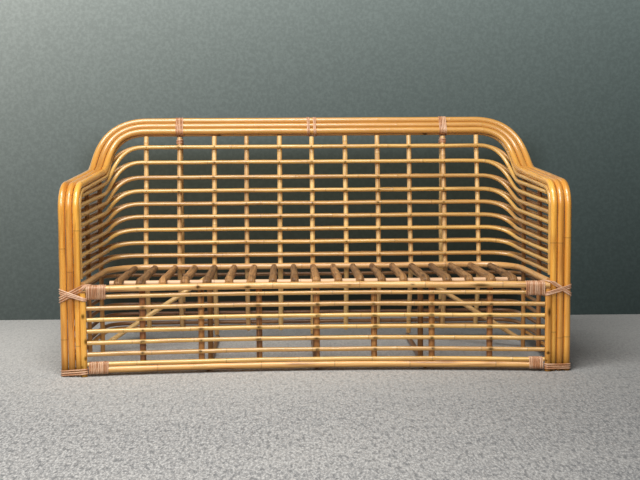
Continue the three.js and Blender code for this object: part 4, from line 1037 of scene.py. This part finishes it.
# The camera that was fitted to the photograph, in its pixels, millimetres and radians
SENSOR, PHOTO_WIDTH, FOCAL, OFF_CENTRE = 36, 640, 1291.19, -11.42
CAMERA_AT, YAW, DOWN, ROLL = (-118.12, -4662.36, 909.43), 0.036805, 0.090020, 0.0053296


def area(name, location, target, size, power, colour):
    """A rectangular light that faces a target."""
    data = bpy.data.lights.new(name, "AREA")
    data.shape = "RECTANGLE"
    data.size, data.size_y = size
    data.energy = power
    data.color = colour
    made = bpy.data.objects.new(name, data)
    bpy.context.scene.collection.objects.link(made)
    made.location = location
    made.rotation_euler = (Vector(target) - Vector(location)).to_track_quat("-Z", "Y").to_euler()


def backdrop(name):
    """A world that is a dim sky, and towards the back a plain wall with painted shade: darker to the right,
    to the floor and in the sofa's shade. It goes by direction, so it hides nothing from behind."""
    n = Nodes(name, bpy.data.worlds)
    where = n.where("Generated")
    x, y, z = n.split(where)
    ahead = n.math("MAXIMUM", y, 0.2)
    u = n.math("MAXIMUM", n.math("MINIMUM", n.math("DIVIDE", x, ahead), 0.5), -0.4)
    slope = n.math("DIVIDE", z, ahead)
    v = n.math("MAXIMUM", n.math("MINIMUM", slope, 0.12), -0.2)
    grit = n.ramp(n.noise(where, 420.0, 3.0, 0.65), 0.35, 0.7, 0.9, 1.08)
    aside = n.math("ABSOLUTE", n.math("SUBTRACT", u, SHADE_MIDDLE))
    shade = n.times(n.ramp(aside, 0.15, 0.19, 1.0, 0.0),
                    n.times(n.ramp(v, -0.035, 0.0, 1.0, 0.0), n.ramp(slope, -0.26, -0.19)))
    # Painted shade that deepens towards the floor within the sofa's shade
    low = n.ramp(v, -0.13, -0.085, 0.55, 1.0)
    channels = []
    for base, across, up, loss in WALL_TONES:
        tone = n.math("EXPONENT", n.math("MULTIPLY_ADD", v, up, n.math("MULTIPLY_ADD", u, across, base)))
        shaded = n.times(n.times(tone, 1.0 - loss), low)
        channels.append(n.times(grit, n.math("MULTIPLY_ADD", shade, n.math("SUBTRACT", shaded, tone), tone)))
    wall = n.node("CombineColor", enumerate(channels))
    towards = n.times(n.ramp(y, 0.1, 0.35), n.ramp(z, 0.25, 0.6, 1.0, 0.0))
    light = n.node("Background", {0: n.mix(towards, SKY, wall.outputs[0])})
    n.node("OutputWorld", {0: light.outputs[0]})
    return n.owner


bpy.context.scene.world = backdrop("backdrop")
area("sky_light", (-0.7, -1.8, 4.2), (0.0, 0.1, 0.4), (2.4, 1.0), 152, (1.0, 0.985, 0.96))
area("front_light", (-0.9, -3.1, 2.7), (0.0, -0.2, 0.35), (3.2, 1.3), 104, (1.0, 0.97, 0.93))

camera_data = bpy.data.cameras.new("camera")
camera_data.sensor_width = SENSOR
camera_data.lens = FOCAL * SENSOR / PHOTO_WIDTH
camera_data.shift_x = OFF_CENTRE / PHOTO_WIDTH
camera_data.clip_end = 60
camera = bpy.data.objects.new("camera", camera_data)
bpy.context.scene.collection.objects.link(camera)
ahead = Vector((sin(YAW) * cos(DOWN), cos(YAW) * cos(DOWN), -sin(DOWN)))
right = Vector((cos(YAW), -sin(YAW), 0))
up = right.cross(ahead)
right, up = right * cos(ROLL) - up * sin(ROLL), right * sin(ROLL) + up * cos(ROLL)
turn = Matrix((right, up, -ahead)).transposed()
camera.matrix_world = Matrix.Translation(place(CAMERA_AT)) @ turn.to_4x4()
bpy.context.scene.camera = camera

bpy.context.scene.view_settings.view_transform = "Standard"

low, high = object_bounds()
